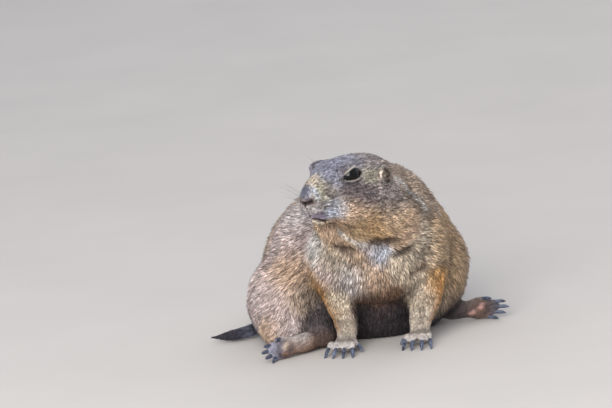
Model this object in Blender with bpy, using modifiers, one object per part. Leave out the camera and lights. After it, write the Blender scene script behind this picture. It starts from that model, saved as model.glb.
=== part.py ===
"""A life-size prairie dog, slumped on its rump with both front paws planted and its head turned.

Metres, +Z up, and the chest faces -Y. The flesh is modelled whole: plain forms are fused by a voxel
remesh, smoothed, cut flat at the floor, and then parted into named nodes by thin cuts. Eyes, ears and
claws are solids of their own, set in sockets that keep a thin gap round them.
"""
import math

import bmesh
import bpy
from mathutils import Matrix, Vector
from mathutils.bvhtree import BVHTree

MM = 0.001
COLLECTION = "prairie_dog"

# Driving dimensions, in millimetres: a well-fed adult, measured over the fur.
HEAD_LENGTH = 53.5  # from the line between the ears to the tip of the nose
HEAD_HALF_WIDTH = 25.5
EYE_RADIUS = 6.8
EYE_HALF_LENGTH = 5.7  # of the opening between the lids
EYE_HALF_HEIGHT = 3.9
CLAW_RADII = (1.25, 1.3, 0.85, 0.2)
THUMB_CLAW_SHARE = 0.7
FLOOR_MARGIN = 0.12  # claws stay this far above the floor
FORE_CLAW_LENGTH = 7.0
HIND_CLAW_LENGTH = 5.4

# How the body is turned. A heading of 0 faces -Y, and a positive one turns towards +X, the animal's left.
PELVIS_HEADING = 33.0
BELLY_HEADING = 22.0
CHEST_HEADING = 10.0
HEAD_HEADING = -50.0
HEAD_PITCH = -2.0  # nose a little down

# Where the main frames stand, in millimetres, from the ground between the two front paws.
PELVIS_AT = (-35.0, 95.0, 0.0)
CHEST_AT = (0.0, 14.0, 0.0)
HEAD_AT = (-1.5, 12.0, 112.0)

GAP = 0.35  # what touching solids keep between them
TRUNK_VOXEL = 2.5
VOXEL = 1.0
HEAD_TRIANGLES = 2150
BODY_TRIANGLES = 4200


# Colour and roughness of each node, by the start of its name.
FINISHES = [
    ("head", (0.33, 0.24, 0.16), 0.90),
    ("ear", (0.38, 0.27, 0.18), 0.90),
    ("eye", (0.012, 0.010, 0.010), 0.12),
    ("neck", (0.50, 0.34, 0.18), 0.90),
    ("foreleg", (0.60, 0.45, 0.28), 0.90),
    ("front_paw", (0.62, 0.50, 0.38), 0.90),
    ("hind_foot", (0.28, 0.18, 0.13), 0.85),
    ("front_claw", (0.035, 0.037, 0.045), 0.35),
    ("hind_claw", (0.035, 0.037, 0.045), 0.35),
    ("tail", (0.07, 0.06, 0.055), 0.90),
]
DEFAULT_FINISH = ((0.45, 0.31, 0.20), 0.90)


def turned(at, heading, pitch=0.0, roll=0.0):
    """A frame in millimetres: x to the animal's left, y backwards, z up, turned by a heading in degrees."""
    spin = Matrix.Rotation(math.radians(heading), 4, "Z")
    nod = Matrix.Rotation(math.radians(-pitch), 4, "X")
    lean = Matrix.Rotation(math.radians(roll), 4, "Y")
    return Matrix.Translation(Vector(at)) @ spin @ nod @ lean


WORLD = Matrix.Identity(4)
PELVIS = turned(PELVIS_AT, PELVIS_HEADING)
CHEST = turned(CHEST_AT, CHEST_HEADING)
HEAD = turned(HEAD_AT, HEAD_HEADING, HEAD_PITCH)

SIDES = (("right", -1), ("left", 1))

# The trunk's line from the nape to the root of the tail: a point, half the width there, half the
# height across the line, and the heading that the width is square to.
SPINE_STATIONS = [
    ((4, 20, 105), 18, 14, 0),
    ((6, 25, 101), 29, 23, 2),
    ((6, 32, 89), 38, 31, 6),
    ((4, 42, 75), 47, 39, 12),
    ((-2, 60, 61), 59, 46, 19),
    ((-11, 78, 52), 61, 48, 25),
    ((-23, 94, 44), 56, 45, 30),
    ((-35, 108, 34), 46, 38, 34),
    ((-44, 120, 24), 32, 27, 36),
    ((-50, 128, 17), 18, 15, 38),
]

# The arms' lines, from shoulder to wrist, with the radius at each point.
ARM_LINES = {
    "right": [(-30, 26, 66), (-26, 22, 48), (-23, 19, 30), (-21, 17, 15), (-22, 15, 6)],
    "left": [(35, 28, 66), (33, 27, 46), (30, 24, 29), (26, 20, 14), (25, 18, 6)],
}
ARM_RADII = {"right": [14, 14.5, 11.2, 7.6, 6.5], "left": [14, 14.5, 12.2, 8.0, 6.5]}
WRIST_HEIGHT = 13.0
PAW_FRAMES = {"right": turned((-23, 14, 0), -17), "left": turned((25, 18.5, 0), -9)}
# Each digit of a front paw: its spread in degrees, length without the claw, and place across the palm.
FORE_DIGITS = [(-12, 9.0, -6.5), (-4, 10.4, -2.3), (4, 10.4, 2.1), (12, 8.8, 6.3)]

# Where each hind foot's heel and ball lie. The feet lie on their outer edges, soles to the front.
FOOT_POINTS = {"right": ((-36, 27, 8), (-60, 9.5, 7.6)), "left": ((30, 74, 8), (63, 69.5, 7.8))}
FOOT_STARTS = {"right": -11.0, "left": 13.0}  # from the heel towards the ball
HIND_DIGIT_LENGTHS = (9.8, 14.5, 17.0, 15.0, 6.5)
HIND_DIGIT_SPREAD = 3.2
LEVEL_DIGIT = 1.4  # which place in the fan, counted from the ground, would point straight ahead
HIND_DIGIT_STEP = 2.75

TAIL_LINE = [(-37, 106, 20), (-53, 108, 12), (-68, 93, 7.5), (-80, 76, 5.6), (-95, 66.5, 4.6),
             (-110, 68, 3.6)]
TAIL_RADII = [9.0, 9.0, 6.8, 5.0, 4.3, 1.2]

HEAD_CUT_HEADING = -20.0  # the cut behind the head lies between the head's way and the chest's

EYE_AT = (13.4, -24.5, 9.6)
GAZE = Vector((0.86, -0.40, 0.26)).normalized()
EYE_TILT = -16.0  # the front corner is the lower one
EAR_AT = (23.6, -5.0, 4.4)


def link(mesh, name):
    """A new object that holds this mesh, in the animal's collection."""
    thing = bpy.data.objects.new(name, mesh)
    bpy.data.collections[COLLECTION].objects.link(thing)
    return thing


def from_bmesh(bm, name):
    mesh = bpy.data.meshes.new(name)
    bm.to_mesh(mesh)
    bm.free()
    return link(mesh, name)


def ellipsoid(name, frame, centre, radii, heading=0.0, pitch=0.0, segments=28):
    """An ellipsoid of these half-sizes in a frame, turned about its own centre."""
    bm = bmesh.new()
    bmesh.ops.create_uvsphere(bm, u_segments=segments, v_segments=segments * 2 // 3, radius=1.0)
    place = frame @ turned(centre, heading, pitch) @ Matrix.Diagonal((*radii, 1.0))
    bm.transform(Matrix.Scale(MM, 4) @ place)
    return from_bmesh(bm, name)


def tube(name, frame, points, radii, sides=4, steps=5):
    """A smooth round tube through points, with a radius at each, as a closed mesh."""
    curve = bpy.data.curves.new(name, "CURVE")
    curve.dimensions = "3D"
    curve.resolution_u = steps
    curve.bevel_depth = 1.0
    curve.bevel_resolution = sides
    curve.use_fill_caps = True
    spline = curve.splines.new("BEZIER")
    spline.bezier_points.add(len(points) - 1)
    for knot, at, radius in zip(spline.bezier_points, points, radii):
        knot.co = (frame @ Vector(at)) * MM
        knot.radius = radius * MM
        knot.handle_left_type = knot.handle_right_type = "AUTO"
    carrier = link(curve, name)
    graph = bpy.context.evaluated_depsgraph_get()
    mesh = bpy.data.meshes.new_from_object(carrier.evaluated_get(graph))
    bpy.data.objects.remove(carrier)
    bpy.data.curves.remove(curve)
    bm = bmesh.new()
    bm.from_mesh(mesh)
    bmesh.ops.remove_doubles(bm, verts=bm.verts, dist=1e-6)
    bmesh.ops.recalc_face_normals(bm, faces=bm.faces)
    bm.to_mesh(mesh)
    bm.free()
    return link(mesh, name)


def loft(name, frame, sections, around=32):
    """A closed skin over elliptical sections (y, half width, top, bottom) along a frame's y axis."""
    bm = bmesh.new()
    rings = []
    for y, width, top, bottom in sections:
        ring = []
        for k in range(around):
            angle = 2 * math.pi * k / around
            z = (top + bottom) / 2 + (top - bottom) / 2 * math.sin(angle)
            ring.append(bm.verts.new((frame @ Vector((width * math.cos(angle), y, z))) * MM))
        rings.append(ring)
    for first, second in zip(rings, rings[1:]):
        for k in range(around):
            bm.faces.new((first[k], first[(k + 1) % around], second[(k + 1) % around], second[k]))
    bm.faces.new(rings[0])
    bm.faces.new(rings[-1])
    bmesh.ops.recalc_face_normals(bm, faces=bm.faces)
    return from_bmesh(bm, name)


def swept(name, stations, around=36, steps=6):
    """A closed skin along a smooth line through stations (point, half width, half height, heading)."""
    rows = [(*point, width, height, heading) for point, width, height, heading in stations]
    rows = [rows[0]] + rows + [rows[-1]]
    smooth = []
    for a, b, c, d in zip(rows, rows[1:], rows[2:], rows[3:]):
        for k in range(steps):
            t = k / steps
            smooth.append([0.5 * (2 * q + (r - p) * t + (2 * p - 5 * q + 4 * r - s) * t * t
                                  + (3 * q - p - 3 * r + s) * t ** 3)
                           for p, q, r, s in zip(a, b, c, d)])
    smooth.append(list(rows[-1]))
    bm = bmesh.new()
    rings = []
    for k, (x, y, z, width, height, heading) in enumerate(smooth):
        before, after = smooth[max(k - 1, 0)], smooth[min(k + 1, len(smooth) - 1)]
        along = (Vector(after[:3]) - Vector(before[:3])).normalized()
        side = Vector((math.cos(math.radians(heading)), math.sin(math.radians(heading)), 0))
        side = (side - along * side.dot(along)).normalized()
        up = side.cross(along)
        ring = []
        for j in range(around):
            angle = 2 * math.pi * j / around
            ring.append(bm.verts.new((Vector((x, y, z)) + side * (width * math.cos(angle))
                                      + up * (height * math.sin(angle))) * MM))
        rings.append(ring)
    for first, second in zip(rings, rings[1:]):
        for k in range(around):
            bm.faces.new((first[k], first[(k + 1) % around], second[(k + 1) % around], second[k]))
    bm.faces.new(rings[0])
    bm.faces.new(rings[-1])
    bmesh.ops.recalc_face_normals(bm, faces=bm.faces)
    return from_bmesh(bm, name)


def widened(outline, gap):
    """A flat outline, counter-clockwise, moved outwards by a gap on every side."""
    points = [Vector(p) for p in outline]
    moved = []
    for before, here, after in zip(points[-1:] + points[:-1], points, points[1:] + points[:1]):
        first = (here - before).normalized()
        second = (after - here).normalized()
        normal = (Vector((first.y, -first.x)) + Vector((second.y, -second.x))).normalized()
        moved.append(here + normal * gap / max(0.3, normal.dot(Vector((first.y, -first.x)))))
    return moved


def prism(name, frame, outline, low, high, gap=0.0):
    """A flat outline in a frame's y and z, counter-clockwise seen from +x, extruded from x low to high."""
    bm = bmesh.new()
    face = bm.faces.new([bm.verts.new((low - gap, p.x, p.y)) for p in widened(outline, gap)])
    made = bmesh.ops.extrude_face_region(bm, geom=[face])
    ends = [v for v in made["geom"] if isinstance(v, bmesh.types.BMVert)]
    bmesh.ops.translate(bm, verts=ends, vec=(high - low + 2 * gap, 0, 0))
    bm.transform(Matrix.Scale(MM, 4) @ frame)
    bmesh.ops.recalc_face_normals(bm, faces=bm.faces)
    return from_bmesh(bm, name)


def block(name, frame, low, high, gap=0.0):
    """A box in a frame between two corners, widened by a gap."""
    (x0, y0, z0), (x1, y1, z1) = low, high
    return prism(name, frame, [(y0, z0), (y1, z0), (y1, z1), (y0, z1)], x0, x1, gap)


def apply_modifiers(thing):
    """Makes what the modifiers show the object's own mesh."""
    graph = bpy.context.evaluated_depsgraph_get()
    mesh = bpy.data.meshes.new_from_object(thing.evaluated_get(graph))
    thing.modifiers.clear()
    thing.data = mesh


def joined(name, things):
    """One object that holds the meshes of all of these, which are then removed."""
    bm = bmesh.new()
    for thing in things:
        bm.from_mesh(thing.data)
        bpy.data.objects.remove(thing)
    return from_bmesh(bm, name)


def fused(name, things, voxel, rounds):
    """One smooth closed surface round all of these forms: a voxel remesh, then rounds of smoothing."""
    whole = joined(name, things)
    remesh = whole.modifiers.new("fuse", "REMESH")
    remesh.mode = "VOXEL"
    remesh.voxel_size = voxel * MM
    smooth = whole.modifiers.new("soften", "SMOOTH")
    smooth.factor = 0.5
    smooth.iterations = rounds
    apply_modifiers(whole)
    return whole


def copied(thing, name):
    return link(thing.data.copy(), name)


def thinned(thing, triangles):
    """Brings a mesh down to about this many triangles, fewest where it is flattest."""
    count = sum(len(face.vertices) - 2 for face in thing.data.polygons)
    fewer = thing.modifiers.new("thin", "DECIMATE")
    fewer.ratio = min(1.0, triangles / count)
    fewer.use_collapse_triangulate = True
    apply_modifiers(thing)


def largest_only(thing):
    """Keeps only the closed surface with the most faces, and drops loose scraps."""
    bm = bmesh.new()
    bm.from_mesh(thing.data)
    unseen = set(bm.verts)
    pieces = []
    while unseen:
        start = unseen.pop()
        piece, edge = {start}, [start]
        while edge:
            here = edge.pop()
            for link_edge in here.link_edges:
                other = link_edge.other_vert(here)
                if other in unseen:
                    unseen.remove(other)
                    piece.add(other)
                    edge.append(other)
        pieces.append(piece)
    best = max(pieces, key=len)
    bmesh.ops.delete(bm, geom=[v for v in bm.verts if v not in best], context="VERTS")
    bm.to_mesh(thing.data)
    bm.free()


def boolean(thing, other, operation, keep_other=False, solver="EXACT"):
    """Cuts thing by other, or joins or meets them, and applies it at once."""
    change = thing.modifiers.new(operation, "BOOLEAN")
    change.operation = operation
    change.solver = solver
    change.object = other
    apply_modifiers(thing)
    largest_only(thing)
    if not keep_other:
        bpy.data.objects.remove(other)


def part_off(name, whole, cutter, solver="EXACT"):
    """Takes what lies inside cutter(0) off whole as a new object, and leaves a thin gap between the two."""
    piece = copied(whole, name)
    boolean(piece, cutter(0.0), "INTERSECT", solver=solver)
    boolean(whole, cutter(GAP), "DIFFERENCE", solver=solver)
    return piece


def trunk_forms():
    """The trunk along the spine, the belly, throat and breast, and the big muscles of the legs."""
    forms = [
        swept("spine", SPINE_STATIONS),
        ellipsoid("belly", WORLD, (3, 71, 39), (62, 51, 48), BELLY_HEADING),
        ellipsoid("throat", WORLD, (-4, 10, 88), (36, 21, 20), -12),
        ellipsoid("dewlap", WORLD, (2, 10, 76), (35, 18, 15), 5),
        ellipsoid("breast", CHEST, (2, 4, 57), (33, 21, 28)),
    ]
    for side, sign, x, y in (("right", -1, -29, 27), ("left", 1, 34, 30)):
        forms.append(ellipsoid("shoulder_" + side, WORLD, (x, y, 62), (16, 19, 25)))
        forms.append(ellipsoid("haunch_" + side, PELVIS, (sign * 41, -19, 27), (26, 34, 31),
                               heading=sign * 22))
        forms.append(ellipsoid("knee_" + side, PELVIS, (sign * 57, -36, 13), (15, 17, 14)))
    return forms


def head_forms():
    """Skull, cheeks, brows, lids, muzzle pads, nose and chin, in the head's own frame."""
    n = -HEAD_LENGTH
    w = HEAD_HALF_WIDTH
    forms = [loft("skull", HEAD, [
        (n + 0.0, 3.0, 2.6, -3.6),
        (n + 1.4, 5.6, 5.2, -8.5),
        (n + 5.0, 8.4, 8.6, -13.5),
        (n + 11.0, 11.4, 12.4, -17.0),
        (n + 19.0, 0.60 * w, 15.6, -20.0),
        (n + 28.0, 0.79 * w, 18.0, -23.5),
        (n + 38.0, 0.95 * w, 19.2, -27.0),
        (n + 48.0, 1.01 * w, 18.8, -29.5),
        (n + 58.0, 0.98 * w, 16.6, -30.0),
        (n + 67.0, 0.87 * w, 12.0, -28.0),
        (n + 76.0, 0.60 * w, 5.0, -21.0),
    ])]
    for _, sign in SIDES:
        x, y, z = EYE_AT
        forms += [
            ellipsoid("cheek", HEAD, (sign * 12.0, -11.0, -12.0), (13.2, 25, 15)),
            ellipsoid("brow", HEAD, (sign * 13.0, -25.5, 13.6), (5.5, 9.5, 4.0), heading=sign * 14),
            ellipsoid("lids", HEAD, (sign * x, y, z), (EYE_RADIUS + 1.4,) * 3),
            ellipsoid("pad", HEAD, (sign * 4.8, n + 8.0, -7.8), (5.6, 6.8, 6.4)),
        ]
    forms.append(ellipsoid("nose", HEAD, (0, n + 1.0, 0.4), (3.5, 2.6, 3.0)))
    forms.append(ellipsoid("chin", HEAD, (0, n + 13.0, -17.0), (6.6, 7.0, 4.6)))
    return forms


def ankle_forms():
    """The fleshy joint that leads each hind foot's heel back into the thigh."""
    return [
        tube("ankle_right", WORLD, [(-52, 44, 16), (-45, 36, 12), (-37, 28, 9)], [13, 11, 7.5]),
        tube("ankle_left", WORLD, [(22, 82, 18), (32, 78, 12), (44, 73, 9)], [13, 10, 7.0]),
    ]


def arm_forms():
    """Upper arm and forearm on each side, as tapered tubes from shoulder to wrist."""
    return [tube("arm_" + side, WORLD, ARM_LINES[side], ARM_RADII[side]) for side, _ in SIDES]


def digit_line(root, way, length, arch, drop):
    """Three points of a toe: its root, its raised middle joint and its lowered tip."""
    middle = root + way * (length * 0.5) + arch
    return [root, middle, root + way * length + drop]


def fore_digits():
    """For each digit of a front paw, four fingers and the small thumb: its line and its radii."""
    lines = []
    for spread, length, across in FORE_DIGITS:
        way = Vector((math.sin(math.radians(spread)), -math.cos(math.radians(spread)), 0))
        root = Vector((across, -4.0, 4.4))
        lines.append((digit_line(root, way, length, Vector((0, 0, 2.6)), Vector((0, 0, -0.4))),
                      [2.6, 2.3, 1.9]))
    return lines


def thumb_line(sign):
    """The thumb's line, on the inner side of the paw of this side."""
    root = Vector((-sign * 6.0, 1.0, 5.0))
    way = Vector((-sign * 0.75, -0.66, 0.0))
    return digit_line(root, way, 4.5, Vector((0, 0, 0.3)), Vector((0, 0, -1.0))), [2.6, 2.3, 1.8]


def paw_digits(side, sign):
    """All five digits of one front paw, thumb last."""
    return fore_digits() + [thumb_line(sign)]


def paw_forms():
    forms = []
    for side, sign in SIDES:
        frame = PAW_FRAMES[side]
        forms.append(ellipsoid("palm", frame, (0, 1.5, 4.4), (8.4, 8.8, 5.5)))
        forms += [tube("toe", frame, line, radii) for line, radii in paw_digits(side, sign)]
    return forms


def foot_frame(side):
    """A frame at a hind foot's heel: x towards the toes, y through the foot to its back, z up its side."""
    heel, ball = (Vector(p) for p in FOOT_POINTS[side])
    along = (ball - heel).normalized()
    through = Vector((0, 0, 1)).cross(along).normalized()
    through = through if through.y > 0 else -through
    up = along.cross(through)
    up = up if up.z > 0 else -up
    return Matrix.Translation(heel) @ Matrix((along, through, up)).transposed().to_4x4()


def foot_length(side):
    heel, ball = (Vector(p) for p in FOOT_POINTS[side])
    return (ball - heel).length


def hind_digits(side):
    """For each toe of a hind foot, from the outer one on the ground upwards: its line and its radii."""
    lines = []
    for k, length in enumerate(HIND_DIGIT_LENGTHS):
        spread = math.radians((k - LEVEL_DIGIT) * HIND_DIGIT_SPREAD)
        way = Vector((math.cos(spread), 0, math.sin(spread)))
        root = Vector((foot_length(side) + 1.0, 0.3, (k - 2) * HIND_DIGIT_STEP))
        lines.append((digit_line(root, way, length, Vector((0, 1.0, 0)), Vector((0, -0.6, 0))),
                      [2.6, 2.3, 1.8]))
    return lines


def foot_forms():
    forms = []
    for side, _ in SIDES:
        frame, length = foot_frame(side), foot_length(side)
        forms += [
            ellipsoid("heel", frame, (1, 0.5, 0), (10, 6.6, 7.2)),
            ellipsoid("sole", frame, (length * 0.55, 0.3, -0.3), (length * 0.62, 5.2, 6.8)),
            ellipsoid("ball", frame, (length, 0.2, -0.2), (8, 4.8, 7.0)),
        ]
        forms += [tube("toe", frame, line, radii) for line, radii in hind_digits(side)]
    return forms


def flesh():
    """The whole body but its eyes, ears and claws."""
    trunk = fused("trunk", trunk_forms(), TRUNK_VOXEL, 40)
    head = fused("skull_and_face", head_forms(), VOXEL, 10)
    soft = fused("soft", [trunk, head, *arm_forms(), *ankle_forms()], 1.4, 18)
    tail = tube("tail_form", WORLD, TAIL_LINE, TAIL_RADII)
    whole = fused("torso", [soft, tail, *paw_forms(), *foot_forms()], VOXEL, 4)
    thinned(whole, 60000)
    return whole


def head_cutter(gap):
    """Runs under the chin and the jaw, then up behind the ears."""
    outline = [(-90, -27), (-20, -28.5), (0, -26), (14, -6), (21, 18), (24, 60), (-90, 60)]
    return prism("head_cutter", turned(HEAD_AT, HEAD_CUT_HEADING), outline, -70, 70, gap)


def neck_cutter(gap):
    """From the fold of the throat to the withers."""
    outline = [(-90, 72), (-10, 72), (30, 84), (62, 112), (62, 200), (-90, 200)]
    return prism("neck_cutter", WORLD, outline, -120, 120, gap)


def sleeve_cutter(side):
    """A sleeve round one arm, from the shoulder joint to the wrist."""
    line = ARM_LINES[side][:4]
    top, wrist = Vector(line[0]), Vector(line[3])
    line = [tuple(top.lerp(Vector(line[1]), 0.45)), *line[1:3],
            tuple(wrist + Vector((0, 0, WRIST_HEIGHT - wrist.z)))]
    room = [4.0, 3.6, 2.6, 1.3]
    radii = [r + more for r, more in zip(ARM_RADII[side], room)]

    def cutter(gap):
        return tube("sleeve_cutter", WORLD, line, [r + gap for r in radii], sides=6, steps=4)
    return cutter


def paw_cutter(side):
    """An upright drum round one paw, up to the wrist."""
    def cutter(gap):
        line = [(0, -6.3, -10), (0, -6.3, 2), (0, -6.3, WRIST_HEIGHT + 1.5 + gap)]
        return tube("paw_cutter", PAW_FRAMES[side], line, [17.3 + gap] * 3, sides=8, steps=2)
    return cutter


def foot_cutter(side):
    """A sleeve round one hind foot, that opens out round its fan of toes."""
    length = foot_length(side)
    line = [(FOOT_STARTS[side], 0, 0), (length * 0.6, 0, 0), (length + 3, 0, 0), (length + 30, 0, 0)]

    def cutter(gap):
        return tube("foot_cutter", foot_frame(side), line, [r + gap for r in (9.0, 9.2, 11.5, 26.0)],
                    sides=6, steps=4)
    return cutter


def thigh_cutter(sign):
    def cutter(gap):
        return ellipsoid("thigh_cutter", PELVIS, (sign * 51, -25, 18), (32 + gap, 41 + gap, 41 + gap),
                         heading=sign * 22, segments=20)
    return cutter


def tail_cutter(gap):
    """A sleeve round the tail from where it leaves the rump."""
    line = [Vector(p) for p in TAIL_LINE]
    end = line[-1] + (line[-1] - line[-2]) * 0.5
    points = [tuple(line[1].lerp(line[2], 0.62)), tuple(line[3]), tuple(line[4]), tuple(end)]
    return tube("tail_cutter", WORLD, points, [r + gap for r in (11.0, 8.5, 8.0, 8.0)], steps=3)


def eye_frame(sign):
    """A frame at an eyeball's centre: z along the gaze, x along the opening between the lids."""
    gaze = Vector((sign * GAZE.x, GAZE.y, GAZE.z))
    back = Vector((0, 1, 0))
    along = (back - gaze * back.dot(gaze)).normalized()
    along = Matrix.Rotation(math.radians(sign * EYE_TILT), 3, gaze) @ along
    up = gaze.cross(along)
    centre = Vector((sign * EYE_AT[0], EYE_AT[1], EYE_AT[2]))
    return HEAD @ Matrix.Translation(centre) @ Matrix((along, up, gaze)).transposed().to_4x4()


def lid_opening(sign):
    """The almond between the lids, extruded out along the gaze."""
    bm = bmesh.new()
    steps = 24
    ring = []
    for k in range(steps):
        angle = 2 * math.pi * k / steps
        x = EYE_HALF_LENGTH * math.cos(angle)
        y = EYE_HALF_HEIGHT * math.sin(angle) * (1 - 0.18 * abs(math.cos(angle)) ** 3)
        ring.append(bm.verts.new((x, y, 2.0)))
    face = bm.faces.new(ring)
    made = bmesh.ops.extrude_face_region(bm, geom=[face])
    ends = [v for v in made["geom"] if isinstance(v, bmesh.types.BMVert)]
    bmesh.ops.translate(bm, verts=ends, vec=(0, 0, 18.0))
    bmesh.ops.scale(bm, verts=ends, vec=(1.35, 1.35, 1.0))
    bm.transform(Matrix.Scale(MM, 4) @ eye_frame(sign))
    bmesh.ops.recalc_face_normals(bm, faces=bm.faces)
    return from_bmesh(bm, "lid_opening")


def ear(side, sign, gap=0.0):
    """One low round ear, a cup open to the side and the front. A gap above 0 gives its socket's cutter."""
    x, y, z = EAR_AT
    frame = HEAD @ turned((sign * x, y, z), sign * 12.0)
    pinna = ellipsoid("ear_" + side, frame, (sign * 0.4, 1.6, 1.6),
                      (4.2 + gap, 5.0 + gap, 6.6 + gap), segments=14)
    if gap == 0.0:
        boolean(pinna, ellipsoid("cup", frame, (sign * 4.2, -0.6, 1.6), (4.4, 2.9, 4.9), segments=12),
                "DIFFERENCE")
    return pinna


def on_skin(tree, angle, height):
    """The point of the muzzle's skin at an angle from straight ahead, at a height in the head's frame."""
    inner = Vector((0, -HEAD_LENGTH + 13.0, height))
    way = Vector((math.sin(math.radians(angle)), -math.cos(math.radians(angle)), 0))
    start = (HEAD @ (inner + way * 40.0)) * MM
    hit = tree.ray_cast(start, HEAD.to_3x3() @ -way)[0]
    return HEAD.inverted() @ (hit / MM)


def face_cuts(head):
    """Nostrils, the groove below the nose and the line of the mouth, all cut along the skin."""
    tree = BVHTree.FromPolygons([v.co for v in head.data.vertices], [f.vertices for f in head.data.polygons])
    lines = []
    for _, sign in SIDES:
        nostril = [(5, -4.6), (14, -3.9), (26, -2.7)]
        mouth = [(0, -14.2), (30, -15.0), (55, -16.4), (78, -18.2)]
        lines.append([on_skin(tree, sign * a, z) for a, z in nostril] + [[0.5, 0.95, 0.6]])
        lines.append([on_skin(tree, sign * a, z) for a, z in mouth] + [[0.8, 0.9, 0.9, 0.5]])
    lines.append([on_skin(tree, 0, z) for z in (-5.6, -8.5, -11.5, -13.9)] + [[0.45, 0.6, 0.6, 0.6]])
    for *line, radii in lines:
        boolean(head, tube("groove", HEAD, line, radii, sides=1, steps=2), "DIFFERENCE")


def claw_line(tip, way, down, length):
    """A claw's curve: out of the toe's end along its way, then bending down."""
    start = tip - way * 2.2
    return [start, tip + way * (length * 0.30), tip + way * (length * 0.70) + down * (length * 0.16),
            tip + way * length + down * (length * 0.42)]


def claw(name, frame, line, gap=0.0):
    """One claw along its curve, or the cutter of its socket where a gap is given."""
    if gap:
        back = (line[0] - line[1]).normalized()
        line = [line[0] + back * gap, *line[1:]]
    return tube(name, frame, line, [r + gap for r in CLAW_RADII], sides=1, steps=2)


def above_floor(frame, line):
    """The same line, each point raised where its tube would reach below the floor."""
    up = frame.to_3x3().inverted() @ Vector((0, 0, 1))
    return [p + up * max(0.0, r + FLOOR_MARGIN - (frame @ p).z) for p, r in zip(line, CLAW_RADII)]


def add_claws(foot, frame, digits, down, length, names):
    """Sets a claw in the end of each digit of one paw or foot."""
    for (line, _), name in zip(digits, names):
        tip = Vector(line[-1])
        way = (tip - Vector(line[1])).normalized()
        size = length * (THUMB_CLAW_SHARE if name.endswith("thumb") else 1.0)
        curve = above_floor(frame, claw_line(tip, way, down, size))
        boolean(foot, claw("socket", frame, curve, gap=GAP), "DIFFERENCE")
        claw(name, frame, curve)


def build():
    """Models the flesh whole, then parts it and sets in the eyes, ears and claws."""
    torso = flesh()
    head = part_off("head", torso, head_cutter, solver="MANIFOLD")
    thinned(head, HEAD_TRIANGLES)
    thinned(torso, BODY_TRIANGLES)
    boolean(torso, block("floor_cutter", WORLD, (-200, -200, -60), (200, 250, 0)), "DIFFERENCE")
    for side, sign in SIDES:
        foot = part_off("hind_foot_" + side, torso, foot_cutter(side))
        digits = hind_digits(side)
        names = [f"hind_claw_{side}_{k}" for k in (5, 4, 3, 2, 1)]
        add_claws(foot, foot_frame(side), digits, Vector((0, -1, 0)), HIND_CLAW_LENGTH, names)
        paw = part_off("front_paw_" + side, torso, paw_cutter(side))
        names = [f"front_claw_{side}_{k}" for k in (1, 2, 3, 4)] + [f"front_claw_{side}_thumb"]
        add_claws(paw, PAW_FRAMES[side], paw_digits(side, sign), Vector((0, 0, -0.35)),
                  FORE_CLAW_LENGTH, names)
        part_off("foreleg_" + side, torso, sleeve_cutter(side))
    part_off("tail", torso, tail_cutter)
    for side, sign in SIDES:
        part_off("thigh_" + side, torso, thigh_cutter(sign))
    part_off("neck", torso, neck_cutter)
    for side, sign in SIDES:
        x, y, z = EYE_AT
        boolean(head, ear(side, sign, gap=GAP), "DIFFERENCE")
        ear(side, sign)
        boolean(head, lid_opening(sign), "DIFFERENCE")
        socket = ellipsoid("socket", HEAD, (sign * x, y, z), (EYE_RADIUS + GAP,) * 3, segments=16)
        boolean(head, socket, "DIFFERENCE")
        ellipsoid("eye_" + side, HEAD, (sign * x, y, z), (EYE_RADIUS,) * 3, segments=20)
    face_cuts(head)


def finish_of(name):
    """The colour and roughness of a node, by the first words of its name."""
    return next((finish for start, *finish in FINISHES if name.startswith(start)), DEFAULT_FINISH)


def dress(thing):
    """Gives a node a material of its own."""
    colour, roughness = finish_of(thing.name)
    material = bpy.data.materials.new(thing.name)
    material.use_nodes = True
    shader = material.node_tree.nodes["Principled BSDF"]
    shader.inputs["Base Color"].default_value = (*colour, 1.0)
    shader.inputs["Roughness"].default_value = roughness
    shader.inputs["Metallic"].default_value = 0.0
    thing.data.materials.clear()
    thing.data.materials.append(material)


def stand_at_origin(things):
    """Moves all the meshes so that the middle of the animal's base is at the origin."""
    corners = [v.co for thing in things for v in thing.data.vertices]
    low = Vector([min(c[k] for c in corners) for k in range(3)])
    high = Vector([max(c[k] for c in corners) for k in range(3)])
    shift = Matrix.Translation(-Vector(((low.x + high.x) / 2, (low.y + high.y) / 2, low.z)))
    for thing in things:
        thing.data.transform(shift)


def main():
    for thing in list(bpy.data.objects):
        bpy.data.objects.remove(thing)
    bpy.context.scene.collection.children.link(bpy.data.collections.new(COLLECTION))
    build()
    nodes = list(bpy.data.collections[COLLECTION].objects)
    for node in nodes:
        dress(node)
    stand_at_origin(nodes)


main()
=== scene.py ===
"""A life-size prairie dog dressed for the camera: skin, coat, eyes, lids, whiskers and claws.

The flesh of the solids is fused into one skin that lies inside them by the coat's depth. Thousands of
thin tufts then follow the coat's lie out to the solids' outline. Skin and tufts take their colour,
length and lie from the same list of named patches.
"""
import logging
import math
from dataclasses import dataclass, fields
from enum import Enum
from typing import List, Optional, Sequence, Tuple

import bmesh
import bpy
import numpy as np
from mathutils import Matrix, Vector
from mathutils.bvhtree import BVHTree


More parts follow.
